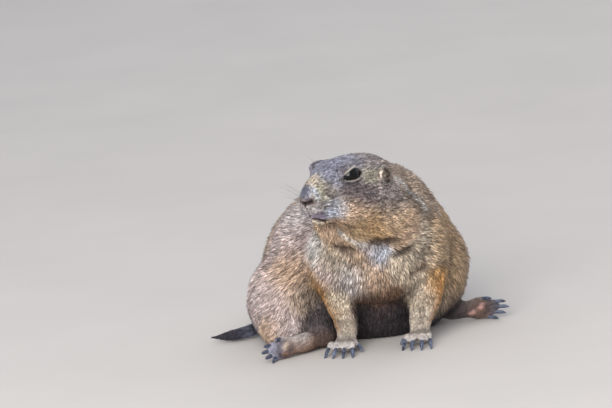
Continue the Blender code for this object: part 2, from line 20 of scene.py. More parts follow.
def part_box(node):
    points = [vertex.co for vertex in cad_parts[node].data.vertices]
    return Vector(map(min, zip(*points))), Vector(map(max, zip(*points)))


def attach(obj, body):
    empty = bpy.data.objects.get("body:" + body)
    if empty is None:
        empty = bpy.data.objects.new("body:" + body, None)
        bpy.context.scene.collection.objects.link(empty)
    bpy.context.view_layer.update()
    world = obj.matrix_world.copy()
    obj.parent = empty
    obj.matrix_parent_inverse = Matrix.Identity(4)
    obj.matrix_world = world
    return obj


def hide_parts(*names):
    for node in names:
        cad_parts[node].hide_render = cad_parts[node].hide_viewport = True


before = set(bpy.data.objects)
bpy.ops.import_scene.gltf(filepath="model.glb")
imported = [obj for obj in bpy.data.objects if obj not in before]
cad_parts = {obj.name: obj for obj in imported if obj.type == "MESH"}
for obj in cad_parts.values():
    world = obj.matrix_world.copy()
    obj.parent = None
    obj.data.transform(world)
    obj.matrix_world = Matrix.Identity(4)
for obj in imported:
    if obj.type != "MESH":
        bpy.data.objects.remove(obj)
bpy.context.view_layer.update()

LOG = logging.getLogger("prairie_dog")
MM = 0.001
SEED = 11
Triple = Tuple[float, float, float]
Array = np.ndarray

SIDES = {"left": 1.0, "right": -1.0}
FLESH = ("head", "neck", "torso", "tail", "foreleg_left", "foreleg_right", "front_paw_left",
         "front_paw_right", "thigh_left", "thigh_right", "hind_foot_left", "hind_foot_right",
         "ear_left", "ear_right")


class Part(Enum):
    """The stretches of the coat that are made as pieces of their own."""

    HEAD = "head"
    CHEST = "chest"
    BACK = "back"
    FLANK = "flank"
    LEGS = "legs"
    TAIL = "tail"


@dataclass(frozen=True)
class Pose:
    """How the animal stands: places are given in millimetres from the ground between its front paws."""

    heading: float = -50.0
    pitch: float = -2.0
    head_at: Triple = (-1.5, 12.0, 112.0)
    eye_at: Triple = (13.4, -24.5, 9.6)

    def turn(self) -> Array:
        """Returns the head's axes as columns: to its left, backwards and up."""
        a, b = math.radians(self.heading), math.radians(-self.pitch)
        spin = np.array([[math.cos(a), -math.sin(a), 0], [math.sin(a), math.cos(a), 0], [0, 0, 1]])
        nod = np.array([[1, 0, 0], [0, math.cos(b), -math.sin(b)], [0, math.sin(b), math.cos(b)]])
        return spin @ nod

    def origin(self) -> Array:
        """Returns where the design's own origin lies in the frame, worked out from the left eyeball."""
        low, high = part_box("eye_left")
        middle = (np.array(low) + np.array(high)) / 2
        return middle - (self.turn() @ np.array(self.eye_at) + np.array(self.head_at)) * MM

    def body(self, points: Sequence) -> Array:
        """Returns design places, in millimetres, as places of the frame in metres."""
        return self.origin() + np.asarray(points, float) * MM

    def head(self, points: Sequence, side: float = 1.0) -> Array:
        """Returns places in the head's axes, mirrored for side -1, as places of the frame in metres."""
        own = np.asarray(points, float) * np.array([side, 1, 1])
        return self.body(own @ self.turn().T + np.array(self.head_at))

    def way(self, direction: Sequence, side: float = 1.0) -> Array:
        """Returns a direction in the head's axes, mirrored for side -1, as one of the frame."""
        return self.turn() @ (np.asarray(direction, float) * np.array([side, 1, 1]))


POSE = Pose()


def linear(rgb: Sequence) -> Array:
    """Turns display colours of 0 to 255 into linear light, by the usual power of 2.2."""
    return (np.asarray(rgb, float) / 255.0) ** 2.2


def unit(v: Array) -> Array:
    """Returns vectors scaled to length one along the last axis."""
    return v / np.maximum(np.linalg.norm(v, axis=-1, keepdims=True), 1e-12)


class Tone(Enum):
    """The coat's palette, as red, green and blue of 255."""

    WHITE = (212, 208, 204)
    BLUE_WHITE = (186, 192, 206)
    CREAM = (200, 184, 164)
    PALE_GREY = (182, 176, 174)
    BLUE_GREY = (146, 146, 160)
    PINK_GREY = (194, 176, 172)
    GREY = (146, 136, 134)
    DARK_GREY = (112, 102, 104)
    SLATE = (84, 86, 100)
    OLIVE = (172, 166, 146)
    TAN = (178, 152, 122)
    WARM_TAN = (192, 164, 140)
    OCHRE = (180, 142, 96)
    DEEP_OCHRE = (172, 124, 76)
    BROWN = (160, 142, 126)
    UMBER = (112, 84, 66)
    SEPIA = (76, 60, 54)
    BLACK_BROWN = (44, 32, 30)
    BLACK = (22, 14, 14)
    PAD_PINK = (178, 136, 130)
    MAUVE = (120, 110, 128)
    BELLY = (72, 62, 66)
    TAIL = (46, 42, 50)


@dataclass(frozen=True)
class Patch:
    """What the coat is like round one place: reach and hair length in millimetres, colour as seen."""

    name: str
    part: Part
    at: Triple
    reach: float
    colour: Tone
    hair: float
    lie: Triple


def head_patches() -> List[Patch]:
    """Returns the patches of the head, in its own axes. Those off the middle also stand on the other side."""
    h = Part.HEAD
    return [
        Patch("nose tip", h, (0, -53.5, 0.5), 2.2, Tone.DARK_GREY, 0.6, (0, 0.8, 0.6)),
        Patch("nose top", h, (1.5, -51.3, 4.6), 2.6, Tone.BLUE_GREY, 0.8, (0, 0.9, 0.4)),
        Patch("nostril side", h, (7.5, -50, -2.8), 1.8, Tone.DARK_GREY, 0.9, (0.2, 0.9, -0.3)),
        Patch("muzzle front", h, (2.5, -52.2, -8), 2.6, Tone.PALE_GREY, 1.0, (0.3, 0.5, -0.8)),
        Patch("upper lip", h, (6.5, -46.5, -12.6), 2.6, Tone.MAUVE, 0.9, (0.4, 0.8, -0.5)),
        Patch("pad", h, (8.5, -47, -5.2), 3.2, Tone.PALE_GREY, 1.3, (0.3, 0.9, -0.25)),
        # Painted highlight: the cream patch on the bridge of the nose stands for light caught there.
        Patch("highlight on the bridge", h, (0, -45.5, 9.5), 3.6, Tone.CREAM, 1.3, (0, 0.95, 0.3)),
        Patch("muzzle side", h, (9.5, -44, 2.5), 3.6, Tone.OLIVE, 1.5, (0.25, 1, 0)),
        Patch("fore muzzle", h, (12.5, -38.5, 4), 3.0, Tone.GREY, 1.6, (0.2, 1, -0.05)),
        Patch("lip corner", h, (11.5, -38.5, -11), 3.6, Tone.BLUE_WHITE, 1.9, (0.3, 0.9, -0.3)),
        Patch("chin", h, (0, -43, -19.5), 3.0, Tone.CREAM, 1.5, (0, 0.95, -0.2)),
        Patch("under the chin", h, (6, -34, -24), 4.5, Tone.WARM_TAN, 2.8, (0.2, 0.95, -0.3)),
        Patch("forehead", h, (7, -32, 14.5), 5.0, Tone.BLUE_GREY, 1.9, (0.1, 1, 0.2)),
        Patch("crown", h, (5, -19, 18.2), 7.0, Tone.BLUE_GREY, 2.4, (0.1, 1, 0)),
        Patch("fore brow", h, (13.3, -31.2, 14.8), 2.0, Tone.DARK_GREY, 1.6, (0.2, 1, 0.3)),
        Patch("brow", h, (15.5, -23.5, 17.2), 2.6, Tone.GREY, 1.7, (0.2, 1, 0.2)),
        Patch("back of the crown", h, (10, -3, 16), 8.0, Tone.GREY, 3.2, (0.1, 1, -0.2)),
        Patch("inner corner", h, (13.4, -35, 8), 2.2, Tone.BLUE_GREY, 1.2, (0.3, 1, 0)),
        Patch("temple", h, (20.5, -11.5, 9), 3.6, Tone.OLIVE, 1.9, (0.1, 1, -0.05)),
        Patch("under the eye", h, (18.8, -27.5, 1.5), 2.8, Tone.DARK_GREY, 1.8, (0.2, 1, -0.1)),
        Patch("cheek", h, (21.5, -21, -4.5), 4.6, Tone.DARK_GREY, 2.6, (0.3, 1, -0.15)),
        Patch("under the whiskers", h, (15.5, -34.5, -9.5), 2.8, Tone.PALE_GREY, 2.2, (0.3, 1, -0.2)),
        Patch("lower cheek", h, (20.5, -27, -13), 5.0, Tone.WARM_TAN, 3.2, (0.3, 0.95, -0.3)),
        Patch("under the ear", h, (25, -4.5, -2.5), 2.8, Tone.GREY, 3.0, (0.1, 0.7, -0.7)),
        Patch("hind cheek", h, (24.5, -2, -10), 6.0, Tone.GREY, 3.8, (0.1, 0.8, -0.6)),
        Patch("jaw", h, (18.5, -17, -24), 6.0, Tone.TAN, 4.2, (0.6, 0.8, -0.25)),
        Patch("hind jaw", h, (25, -5, -21), 6.0, Tone.BROWN, 4.6, (0.4, 0.8, -0.4)),
        Patch("ear rim", h, (26.0, -7.4, 7.5), 2.0, Tone.CREAM, 1.0, (0.3, 0.6, 0.7)),
        Patch("ear back", h, (25.0, 0.5, 6.5), 2.8, Tone.BROWN, 1.4, (0.2, 0.9, 0.4)),
    ]


def body_patches() -> List[Patch]:
    """Returns the patches of the body, in the design's axes. Those of the far sides follow the kind."""
    c, b, f, g, t = Part.CHEST, Part.BACK, Part.FLANK, Part.LEGS, Part.TAIL
    return [
        Patch("white edge", c, (-39, 15, 69), 5, Tone.WHITE, 6.5, (-0.5, 0.3, -0.8)),
        Patch("throat", c, (-27, -1, 80), 6, Tone.WARM_TAN, 5.5, (0.2, 0, -1)),
        Patch("throat front", c, (-8, -9.2, 82), 6, Tone.TAN, 5.5, (0.7, 0.1, -0.6)),
        Patch("throat right", c, (2, -10.4, 84), 6, Tone.OCHRE, 6.0, (0.85, 0.2, -0.45)),
        Patch("under the jaw", c, (14.5, -9, 86), 6, Tone.TAN, 6.5, (0.9, 0.3, -0.35)),
        Patch("side of the throat", c, (24, -2.5, 78), 6, Tone.WARM_TAN, 7, (0.9, 0.4, -0.15)),
        Patch("shoulder streaks", c, (33, 9, 70), 6, Tone.CREAM, 7.5, (0.85, 0.45, -0.3)),
        Patch("left shoulder", c, (43, 18, 70), 6, Tone.TAN, 7.5, (0.7, 0.5, -0.6)),
        Patch("under the collar", c, (-5, -7, 71), 3.0, Tone.BLUE_GREY, 6.5, (0, 0, -1)),
        Patch("upper chest", c, (-8, -3, 63), 5, Tone.WARM_TAN, 7.5, (-0.1, 0, -1)),
        Patch("blue chest", c, (2, -3, 64), 4, Tone.BLUE_WHITE, 7.5, (0, 0, -1)),
        Patch("left of the chest", c, (-28.5, 6, 61), 6, Tone.CREAM, 7.5, (-0.35, 0, -1)),
        Patch("lower chest", c, (-15.5, 1, 49), 6, Tone.PALE_GREY, 8, (-0.1, 0, -1)),
        Patch("chest middle", c, (-2, -1, 48), 6, Tone.WARM_TAN, 8, (0.05, 0, -1)),
        Patch("right of the chest", c, (16, 2, 55), 5, Tone.CREAM, 7.5, (0.25, 0, -1)),
        Patch("stripe of the shoulder", c, (26, 7, 60), 4, Tone.CREAM, 7, (0.35, 0, -0.95)),
        # Painted shade: the umber under the chest, between the forelegs, stands for the shade there.
        Patch("under the chest", c, (2, 12, 33), 7, Tone.UMBER, 8, (0, 0.3, -1)),
        Patch("right shoulder", c, (-33, 10, 53), 5, Tone.PINK_GREY, 7, (-0.4, 0.1, -0.9)),
        Patch("right elbow", g, (-38, 18, 42), 5, Tone.OCHRE, 6, (-0.1, 0, -1)),
        Patch("right foreleg outside", g, (-31, 14, 30), 4, Tone.TAN, 3.6, (0, 0, -1)),
        Patch("right foreleg front", g, (-26, 9, 34), 4, Tone.CREAM, 3.8, (0, 0, -1)),
        Patch("left foreleg front", g, (27, 12, 31), 5, Tone.CREAM, 3.6, (0, 0, -1)),
        Patch("left foreleg side", g, (35, 13.5, 32), 3.5, Tone.WARM_TAN, 3.8, (0, 0, -1)),
        Patch("left foreleg outside", g, (40, 17, 36), 4, Tone.OCHRE, 4.8, (0.1, 0.1, -1)),
        Patch("right wrist", g, (-23, 9, 14), 4, Tone.CREAM, 1.7, (0, -0.4, -0.9)),
        Patch("left wrist", g, (25, 12, 12), 4, Tone.CREAM, 1.7, (0, -0.4, -0.9)),
        Patch("right paw", g, (-25, 4, 7), 6, Tone.PALE_GREY, 0.8, (0, -0.9, -0.3)),
        Patch("left paw", g, (24, 7, 7), 6, Tone.PALE_GREY, 0.8, (0, -0.9, -0.3)),
        # Painted shade: the dark belly and the almost black belly by the ground stand for the shade under the
        # body.
        Patch("belly", f, (-3, 30, 14), 9, Tone.BELLY, 7, (0, 0, -1)),
        Patch("belly floor", f, (0, 48, 2), 12, Tone.TAIL, 5, (0, 0.5, -0.6)),
        Patch("beside the left leg", f, (45, 46, 20), 6, Tone.BROWN, 7, (0.2, 0.1, -1)),
        Patch("right groin", f, (-39, 27, 17), 5, Tone.DARK_GREY, 6.5, (0.3, -0.1, -0.9)),
        Patch("flank fold", f, (-50, 26, 34), 5, Tone.BROWN, 7, (-0.1, 0, -1)),
        Patch("inside the thigh", f, (-52, 14, 13), 4, Tone.PALE_GREY, 4.5, (0.3, -0.2, -0.9)),
        Patch("thigh front", f, (-61, 20, 17), 6, Tone.PINK_GREY, 5, (-0.3, 0.1, -0.9)),
        Patch("thigh", f, (-74, 34, 34), 9, Tone.PINK_GREY, 6.5, (-0.5, 0.3, -0.8)),
        Patch("low thigh", f, (-72, 26, 14), 6, Tone.WARM_TAN, 5, (-0.4, 0.2, -0.9)),
        Patch("right flank", f, (-54, 33, 53), 8, Tone.WARM_TAN, 8, (-0.55, 0.3, -0.75)),
        Patch("flank by the shoulder", f, (-47, 33, 71), 7, Tone.PINK_GREY, 8, (-0.6, 0.5, -0.6)),
        Patch("upper right flank", f, (-59, 50, 73), 9, Tone.PINK_GREY, 8.5, (-0.6, 0.6, -0.5)),
        Patch("top of the right flank", f, (-48, 50, 84), 8, Tone.PALE_GREY, 8.5, (-0.6, 0.7, -0.35)),
        Patch("nape", b, (14, 16, 114), 8, Tone.BROWN, 5.5, (0.3, 0.85, -0.4)),
        Patch("neck side", b, (36, 24, 98), 8, Tone.BROWN, 7, (0.5, 0.6, -0.65)),
        Patch("right neck", b, (-28, 32, 100), 9, Tone.PALE_GREY, 6.5, (-0.6, 0.7, -0.4)),
        Patch("withers", b, (5, 55, 112), 16, Tone.BROWN, 8.5, (-0.2, 1, -0.1)),
        Patch("back", b, (-10, 85, 99), 22, Tone.BROWN, 9, (-0.35, 0.95, -0.3)),
        Patch("loin", b, (-35, 115, 75), 22, Tone.BROWN, 9, (-0.4, 0.8, -0.6)),
        Patch("rump", b, (-50, 138, 35), 18, Tone.BROWN, 9, (-0.4, 0.2, -0.9)),
        Patch("high left flank", f, (51, 58, 67), 10, Tone.TAN, 8.5, (0.2, 0.6, -0.85)),
        Patch("left flank", f, (57, 61, 49), 10, Tone.TAN, 8.5, (0.3, 0.5, -0.85)),
        Patch("low left flank", f, (51, 49, 30), 7, Tone.TAN, 8, (0.3, 0.3, -0.95)),
        Patch("left haunch", f, (50, 95, 35), 18, Tone.BROWN, 8.5, (0.2, 0.7, -0.7)),
        Patch("behind the haunch", f, (15, 130, 30), 18, Tone.BROWN, 8.5, (0, 0.4, -0.9)),
        Patch("left heel", g, (43, 60, 9), 6, Tone.TAIL, 3, (0.9, -0.2, -0.3)),
        Patch("left sole", g, (56, 66, 6), 6, Tone.BELLY, 0.3, (1, 0, 0)),
        Patch("left ball", g, (67, 65.5, 8), 5, Tone.UMBER, 0.3, (1, 0, 0)),
        Patch("left foot top", g, (64, 76, 11), 6, Tone.GREY, 1.4, (1, -0.1, 0)),
        Patch("left toes", g, (80, 69, 9), 6, Tone.SLATE, 0.6, (1, 0, 0)),
        Patch("right heel", g, (-38, 22, 9), 5, Tone.SEPIA, 1.6, (-0.7, -0.6, 0)),
        Patch("right sole", g, (-50, 10, 6), 6, Tone.UMBER, 0.3, (-0.8, -0.6, 0)),
        Patch("right ball", g, (-61, 4, 7), 4, Tone.BELLY, 0.3, (-0.8, -0.6, 0)),
        Patch("right foot top", g, (-55, 14, 15), 5, Tone.PALE_GREY, 1.4, (-0.8, -0.6, 0)),
        Patch("right toes", g, (-71, -1, 10), 5, Tone.BLUE_GREY, 0.6, (-0.8, -0.6, 0)),
        Patch("tail root", t, (-60, 104, 10), 10, Tone.BROWN, 6.5, (-0.7, -0.7, 0)),
        Patch("tail middle", t, (-82, 74, 6), 7, Tone.SLATE, 5, (-0.8, -0.55, 0)),
        Patch("tail end", t, (-101, 67.5, 5), 8, Tone.TAIL, 3.0, (-1, 0.05, 0)),
    ]


class Space(Enum):
    """How a line's points are given."""

    MUZZLE = "degrees round the muzzle from straight ahead, and the height in the head"
    HEAD = "millimetres in the head's axes"
    BODY = "millimetres in the design's axes"


@dataclass(frozen=True)
class Line:
    """A narrow mark along the skin, such as the mouth.

    Reach is its half width and depth how far the skin sinks there, in millimetres. Strength is how much
    of the colour shows, and bare how much shorter the hair is.
    """

    name: str
    space: Space
    points: Tuple[Tuple[float, ...], ...]
    reach: float
    colour: Tone
    strength: float
    depth: float = 0.0
    bare: float = 0.0


def lines() -> List[Line]:
    """Returns the narrow marks. Those of the head stand on both sides."""
    m, h, b = Space.MUZZLE, Space.HEAD, Space.BODY
    return [
        Line("nostril surround", m, ((0, -3.4), (12, -3.4), (30, -2.8)), 2.6, Tone.SEPIA, 0.95, 0.0, 0.9),
        # Painted shade: the nostril and the groove under the nose are painted black where the skin sinks in.
        Line("nostril", m, ((4, -3.6), (14, -3.1), (26, -2.0)), 1.35, Tone.BLACK, 1.0, 1.6, 1.0),
        Line("groove under the nose", m, ((0, -4.8), (0, -9.0), (0, -13.8)), 1.0, Tone.BLACK, 1.0, 0.9,
             1.0),
        Line("upper lip", m, ((22, -12.2), (46, -12.8), (66, -14.4)), 1.9, Tone.MAUVE, 0.85, -0.35, 0.8),
        Line("lower lip", m, ((8, -16.6), (40, -18.0), (66, -19.4)), 1.0, Tone.OLIVE, 0.5, -0.35, 0.4),
        # Painted shade: the mouth's crease is painted black-brown where the skin sinks in.
        Line("mouth", m, ((0, -14.2), (30, -15.2), (50, -16.3), (97, -17.8)), 1.15,
             Tone.BLACK_BROWN, 1.0, 1.2, 1.0),
        Line("dark streak", h, ((10.6, -41.5, 0.8), (12.8, -38.0, -1.8)), 1.0, Tone.BELLY, 0.8),
        Line("nose top", h, ((1.0, -51.6, 2.4), (1.2, -50.4, 6.6)), 2.5, Tone.SLATE, 0.85),
        Line("pale side of the nose", h, ((6.5, -49.0, 6.5), (8.5, -47.5, 0.5)), 1.6, Tone.BLUE_WHITE, 0.7),
        Line("whisker row", h, ((8.0, -47.0, -3.5), (13.0, -39.0, -4.5)), 0.8, Tone.BELLY, 0.6),
        Line("lower whisker row", h, ((8.5, -46.0, -6.5), (13.5, -38.0, -7.5)), 0.8, Tone.UMBER, 0.55),
        Line("brow arc", h, ((11.0, -33.0, 14.5), (13.0, -28.0, 17.4), (14.5, -21.0, 18.4)), 1.1,
             Tone.BELLY, 0.75),
        Line("line under the eye", h, ((15.0, -32.5, 6.6), (18.8, -27.5, 5.2), (20.4, -20.5, 6.4)), 0.9,
             Tone.BELLY, 0.7),
        # Painted shade: the ear's opening is painted black-brown where the skin sinks into it.
        Line("ear slit", h, ((26.9, -3.8, 10.2), (26.9, -3.6, 6.0), (26.5, -3.6, 2.0)), 1.7,
             Tone.BLACK_BROWN, 1.0, 0.9, 1.0),
        Line("pale rim of the ear", h, ((24.5, -9.2, 10.5), (24.6, -9.6, 6.0), (24.2, -8.6, 0.5)), 1.0,
             Tone.PINK_GREY, 0.7, -0.2, 0.3),
        # Painted shadow: the four folds of the chest sink the skin and are painted sepia and umber where the
        # throat's fur overhangs the chest.
        Line("shadow of the left fold", b, ((-24.0, -1.5, 72.5), (-20.0, -3.0, 71.0), (-15.5, -4.0, 69.5)), 2.6,
             Tone.SEPIA, 0.75, 2.4, 0.4),
        Line("shadow of the middle fold", b, ((-0.5, -7.0, 74.0), (5.4, -6.8, 72.6), (12.5, -4.5, 74.5)), 2.6,
             Tone.SEPIA, 0.75, 2.6, 0.4),
        Line("shadow of the right fold", b, ((15.5, -1.5, 63.5), (19.0, 1.0, 64.6), (23.0, 3.0, 66.0)), 2.6,
             Tone.SEPIA, 0.75, 2.0, 0.35),
        Line("shadow of the low fold", b, ((24.0, 7.5, 50.5), (31.5, 12.0, 51.6)), 2.2, Tone.UMBER, 0.8, 1.4, 0.3),
        Line("collar", b, ((-21.5, -4.2, 82.5), (-13.6, -6.1, 75.5), (-5.0, -7.0, 72.6)), 1.5,
             Tone.WHITE, 0.75, -0.5),
        Line("stripe behind the ear", b, ((19.0, -1.0, 113.0), (23.4, 7.3, 107.0), (31.7, 14.9, 95.9),
                                          (36.0, 17.0, 87.0)), 2.0, Tone.WHITE, 0.8),
        Line("edge of the right leg", b, ((-37.0, 17.0, 44.0), (-33.5, 16.5, 28.0), (-29.5, 14.0, 16.0)), 3.2,
             Tone.DEEP_OCHRE, 0.65),
        Line("edge of the left leg", b, ((41.0, 18.0, 42.0), (39.5, 19.0, 28.0), (34.5, 17.0, 15.0)), 3.0,
             Tone.DEEP_OCHRE, 0.65),
        Line("lower left pad", b, ((60.0, 66.0, 5.2), (62.5, 65.6, 6.2)), 1.7, Tone.PAD_PINK, 0.6, -0.7, 1.0),
        Line("upper left pad", b, ((66.4, 65.2, 8.6), (69.0, 65.3, 11.0)), 1.7, Tone.PAD_PINK, 0.6, -0.7,
             1.0),
        Line("right pad", b, ((-61.8, 4.2, 8.0), (-60.0, 5.4, 10.4)), 1.7, Tone.BROWN, 0.85, -0.7, 1.0),
        Line("low right pad", b, ((-63.0, 4.2, 4.0), (-61.0, 5.0, 4.2)), 1.4, Tone.UMBER, 0.8, -0.6, 1.0),
    ]


class Markings:
    """The coat's colour, length and lie at any place, blended from the nearest patches.

    Each patch weighs e to the power of minus half the square of its distance over its reach. The weights
    are shared out so that they add to one, so the patch that is nearest for its reach has the most say.
    Swelling is the height, distance and width of the rise beside a line, in its own depth and reach.
    Muzzle lines are cast towards an upright axis at muzzle_axis from outside millimetres away from it.
    Steps is the number of points in each stretch of a line, and chunk that of places blended at once.
    """

    muzzle_axis: float = -40.5
    outside: float = 40.0
    steps: int = 7
    swelling: Triple = (0.22, 2.0, 0.7)
    chunk: int = 40000

    def __init__(self) -> None:
        """Gathers the patches, those of the head on both sides."""
        rows = [(p, POSE.body(p.at), np.array(p.lie, float)) for p in body_patches()]
        for p in head_patches():
            for side in ((1, -1) if p.at[0] else (1,)):
                rows.append((p, POSE.head(p.at, side), POSE.way(p.lie, side)))
        patches, places, lies = zip(*rows)
        self.order = list(Part)
        self.part = np.array([self.order.index(p.part) for p in patches])
        self.place = np.array(places)
        self.reach = np.array([p.reach for p in patches]) * MM
        self.colour = linear([p.colour.value for p in patches])
        self.hair = np.array([p.hair for p in patches]) * MM
        self.lie = unit(np.array(lies))
        self.marks: List[Tuple[Line, Array]] = []

    def draw(self, skin: bpy.types.Object) -> None:
        """Lays every narrow line on to the skin.

        Lines of the muzzle are cast inwards on to it, and the others take the nearest point.
        """
        tree = tree_of(skin)
        self.marks.clear()
        for line in lines():
            for side in ((1,) if line.space is Space.BODY else (1, -1)):
                points = spread(np.array(line.points, float), self.steps)
                path = [self.landed(tree, line.space, point, side) for point in points]
                self.marks.append((line, np.array([place for place in path if place is not None])))

    def landed(self, tree: BVHTree, space: Space, point: Array, side: float) -> Optional[Vector]:
        """Returns where a point of a line lies on the skin, or nothing where its cast misses."""
        if space is Space.MUZZLE:
            angle = math.radians(point[0] * side)
            way = np.array([math.sin(angle), -math.cos(angle), 0])
            start = POSE.head(np.array([0, self.muzzle_axis, point[1]]) + way * self.outside)
            return tree.ray_cast(Vector(start), Vector(POSE.way(-way)))[0]
        place = POSE.head(point, side) if space is Space.HEAD else POSE.body(point)
        return tree.find_nearest(Vector(place))[0]

    @staticmethod
    def near(points: Array, path: Array) -> Array:
        """Returns each point's distance to a path, through its nearest stretch."""
        best = np.full(len(points), 1.0)
        for a, b in zip(path[:-1], path[1:]):
            along = b - a
            share = np.clip((points - a) @ along / max(along @ along, 1e-12), 0, 1)
            best = np.minimum(best, np.linalg.norm(points - a - share[:, None] * along, axis=1))
        return best

    def press(self, places: Array, normals: Array) -> Array:
        """Sinks the skin along the lines, each a bell curve across, with a slight swelling beside it."""
        height, apart, width = self.swelling
        moved = places.copy()
        for line, path in self.marks:
            if line.depth:
                d = self.near(places, path) / (line.reach * MM)
                bell = np.exp(-d ** 2) - height * np.exp(-((d - apart) / width) ** 2) * (line.depth > 0)
                moved -= normals * (bell * line.depth * MM)[:, None]
        return moved

    def weigh(self, points: Array) -> Array:
        """Returns each patch's share at each point, as rows that add to one."""
        square = (np.sum(points ** 2, axis=1)[:, None] - 2 * points @ self.place.T
                  + np.sum(self.place ** 2, axis=1)[None])
        power = -0.5 * np.maximum(square, 0) / self.reach ** 2
        share = np.exp(power - power.max(axis=1, keepdims=True))
        return share / share.sum(axis=1, keepdims=True)

    def at(self, points: Array) -> Tuple[Array, Array, Array, Array]:
        """Returns colour, hair length, lie and the index of the part at each point."""
        results = [[], [], [], []]
        for chunk in np.array_split(points, max(1, len(points) // self.chunk)):
            share = self.weigh(chunk)
            results[0].append(share @ self.colour)
            results[1].append(share @ self.hair)
            results[2].append(share @ self.lie)
            results[3].append(self.part[share.argmax(axis=1)])
        colour, hair, lie, part = (np.concatenate(r) for r in results)
        for line, path in self.marks:
            near = np.flatnonzero(np.linalg.norm(points - path.mean(axis=0), axis=1)
                                  < np.ptp(path, axis=0).max() + line.reach * 3 * MM)
            if len(near):
                bell = np.exp(-(self.near(points[near], path) / (line.reach * MM)) ** 2)
                mix = (bell * line.strength)[:, None]
                colour[near] = colour[near] * (1 - mix) + linear(line.colour.value) * mix
                hair[near] = hair[near] * (1 - bell * line.bare)
        return colour, hair, lie, part


def spread(points: Array, steps: int) -> Array:
    """Returns points along a polyline, this many to each stretch."""
    share = np.arange(steps)[:, None] / steps
    parts = [a + (b - a) * share for a, b in zip(points[:-1], points[1:])]
    return np.concatenate(parts + [points[-1:]])


def rounded(ring: Array, rounds: int) -> Array:
    """Returns a closed ring, each point moved half way to the mean of its neighbours, a few times over."""
    for _ in range(rounds):
        ring = (np.roll(ring, 1, axis=0) + 2 * ring + np.roll(ring, -1, axis=0)) / 4
    return ring


@dataclass(frozen=True)
class Almond:
    """The eye's opening seen along the head's x axis: points (y, z) in the head's millimetres.

    Only places within span of its middle, and further than least_x to the side, can lie inside it.
    """

    points: Tuple[Tuple[float, float], ...] = (
        (-32.4, 8.5), (-30.8, 10.6), (-28.6, 12.6), (-26.0, 14.0), (-23.2, 14.5), (-20.4, 13.8),
        (-18.2, 12.3), (-17.3, 10.8), (-18.4, 9.3), (-21.0, 8.3), (-24.5, 7.8), (-28.0, 7.8), (-30.8, 8.0))
    steps: int = 72
    middle: Tuple[float, float] = (-25.0, 11.0)
    span: Tuple[float, float] = (9.0, 6.0)
    least_x: float = 9.0

    def outline(self) -> Array:
        """Returns the outline's points, evenly spread along it and slightly rounded."""
        loop = np.array(self.points + self.points[:1])
        run = np.concatenate([[0], np.cumsum(np.linalg.norm(np.diff(loop, axis=0), axis=1))])
        at = np.linspace(0, run[-1], self.steps, endpoint=False)
        ring = np.stack([np.interp(at, run, loop[:, k]) for k in range(2)], axis=1)
        return rounded(ring, 3)

    def outward(self, ring: Array) -> Array:
        """Returns the outline's unit normals in its plane: the tangent turned a quarter."""
        along = np.roll(ring, -1, axis=0) - np.roll(ring, 1, axis=0)
        turned = unit(np.stack([-along[:, 1], along[:, 0]], axis=1))
        middle = ring.mean(axis=0)
        return turned * np.sign(np.sum(turned * (ring - middle), axis=1).sum())

    def inside(self, places: Array) -> Array:
        """Returns how far, in millimetres, each place lies inside the opening, or 0 outside of it."""
        own = (places - POSE.head((0, 0, 0))) @ POSE.turn() / MM
        depth = np.zeros(len(places))
        close = (np.abs(own[:, 1:] - np.array(self.middle)) < np.array(self.span)).all(axis=1)
        near = np.flatnonzero((np.abs(own[:, 0]) > self.least_x) & close)
        flat, ring = own[near][:, 1:], self.outline()
        a, b = ring[None], np.roll(ring, -1, axis=0)[None]
        p = flat[:, None]
        crosses = (a[..., 1] > p[..., 1]) != (b[..., 1] > p[..., 1])
        rise = np.where(np.abs(b[..., 1] - a[..., 1]) < 1e-9, 1e-9, b[..., 1] - a[..., 1])
        left = p[..., 0] < a[..., 0] + (b[..., 0] - a[..., 0]) * (p[..., 1] - a[..., 1]) / rise
        within = (crosses & left).sum(axis=1) % 2 == 1
        depth[near] = np.linalg.norm(p - a, axis=2).min(axis=1) * within
        return depth


def object_of(name: str, vertices: Array, faces: Array, smooth: bool = True) -> bpy.types.Object:
    """Puts arrays into a mesh object.

    Args:
        name: the piece's name.
        vertices: places in metres, one row each.
        faces: rows of three or four vertex numbers.
        smooth: whether the faces are shaded smooth.

    Returns:
        The new object, linked to the scene.
    """
    mesh = bpy.data.meshes.new(name)
    count, sides = faces.shape
    mesh.vertices.add(len(vertices))
    mesh.vertices.foreach_set("co", np.ascontiguousarray(vertices, np.float32).ravel())
    mesh.loops.add(count * sides)
    mesh.loops.foreach_set("vertex_index", np.ascontiguousarray(faces, np.int32).ravel())
    mesh.polygons.add(count)
    mesh.polygons.foreach_set("loop_start", np.arange(0, count * sides, sides, dtype=np.int32))
    mesh.polygons.foreach_set("use_smooth", np.full(count, smooth))
    mesh.update(calc_edges=True)
    piece = bpy.data.objects.new(name, mesh)
    bpy.context.scene.collection.objects.link(piece)
    return piece


def paint(piece: bpy.types.Object, colours: Array) -> None:
    """Stores a linear colour for each vertex as the attribute that the materials read."""
    layer = piece.data.color_attributes.new("coat", "FLOAT_COLOR", "POINT")
    rgba = np.ones((len(colours), 4), np.float32)
    rgba[:, :3] = colours
    layer.data.foreach_set("color", rgba.ravel())


def grid_faces(rows: int, columns: int) -> Array:
    """Returns the quads between rows of points, each row a closed ring."""
    r, c = np.meshgrid(np.arange(rows - 1), np.arange(columns), indexing="ij")
    here = r * columns + c
    beside = r * columns + (c + 1) % columns
    return np.stack([here, beside, beside + columns, here + columns], axis=-1).reshape(-1, 4)


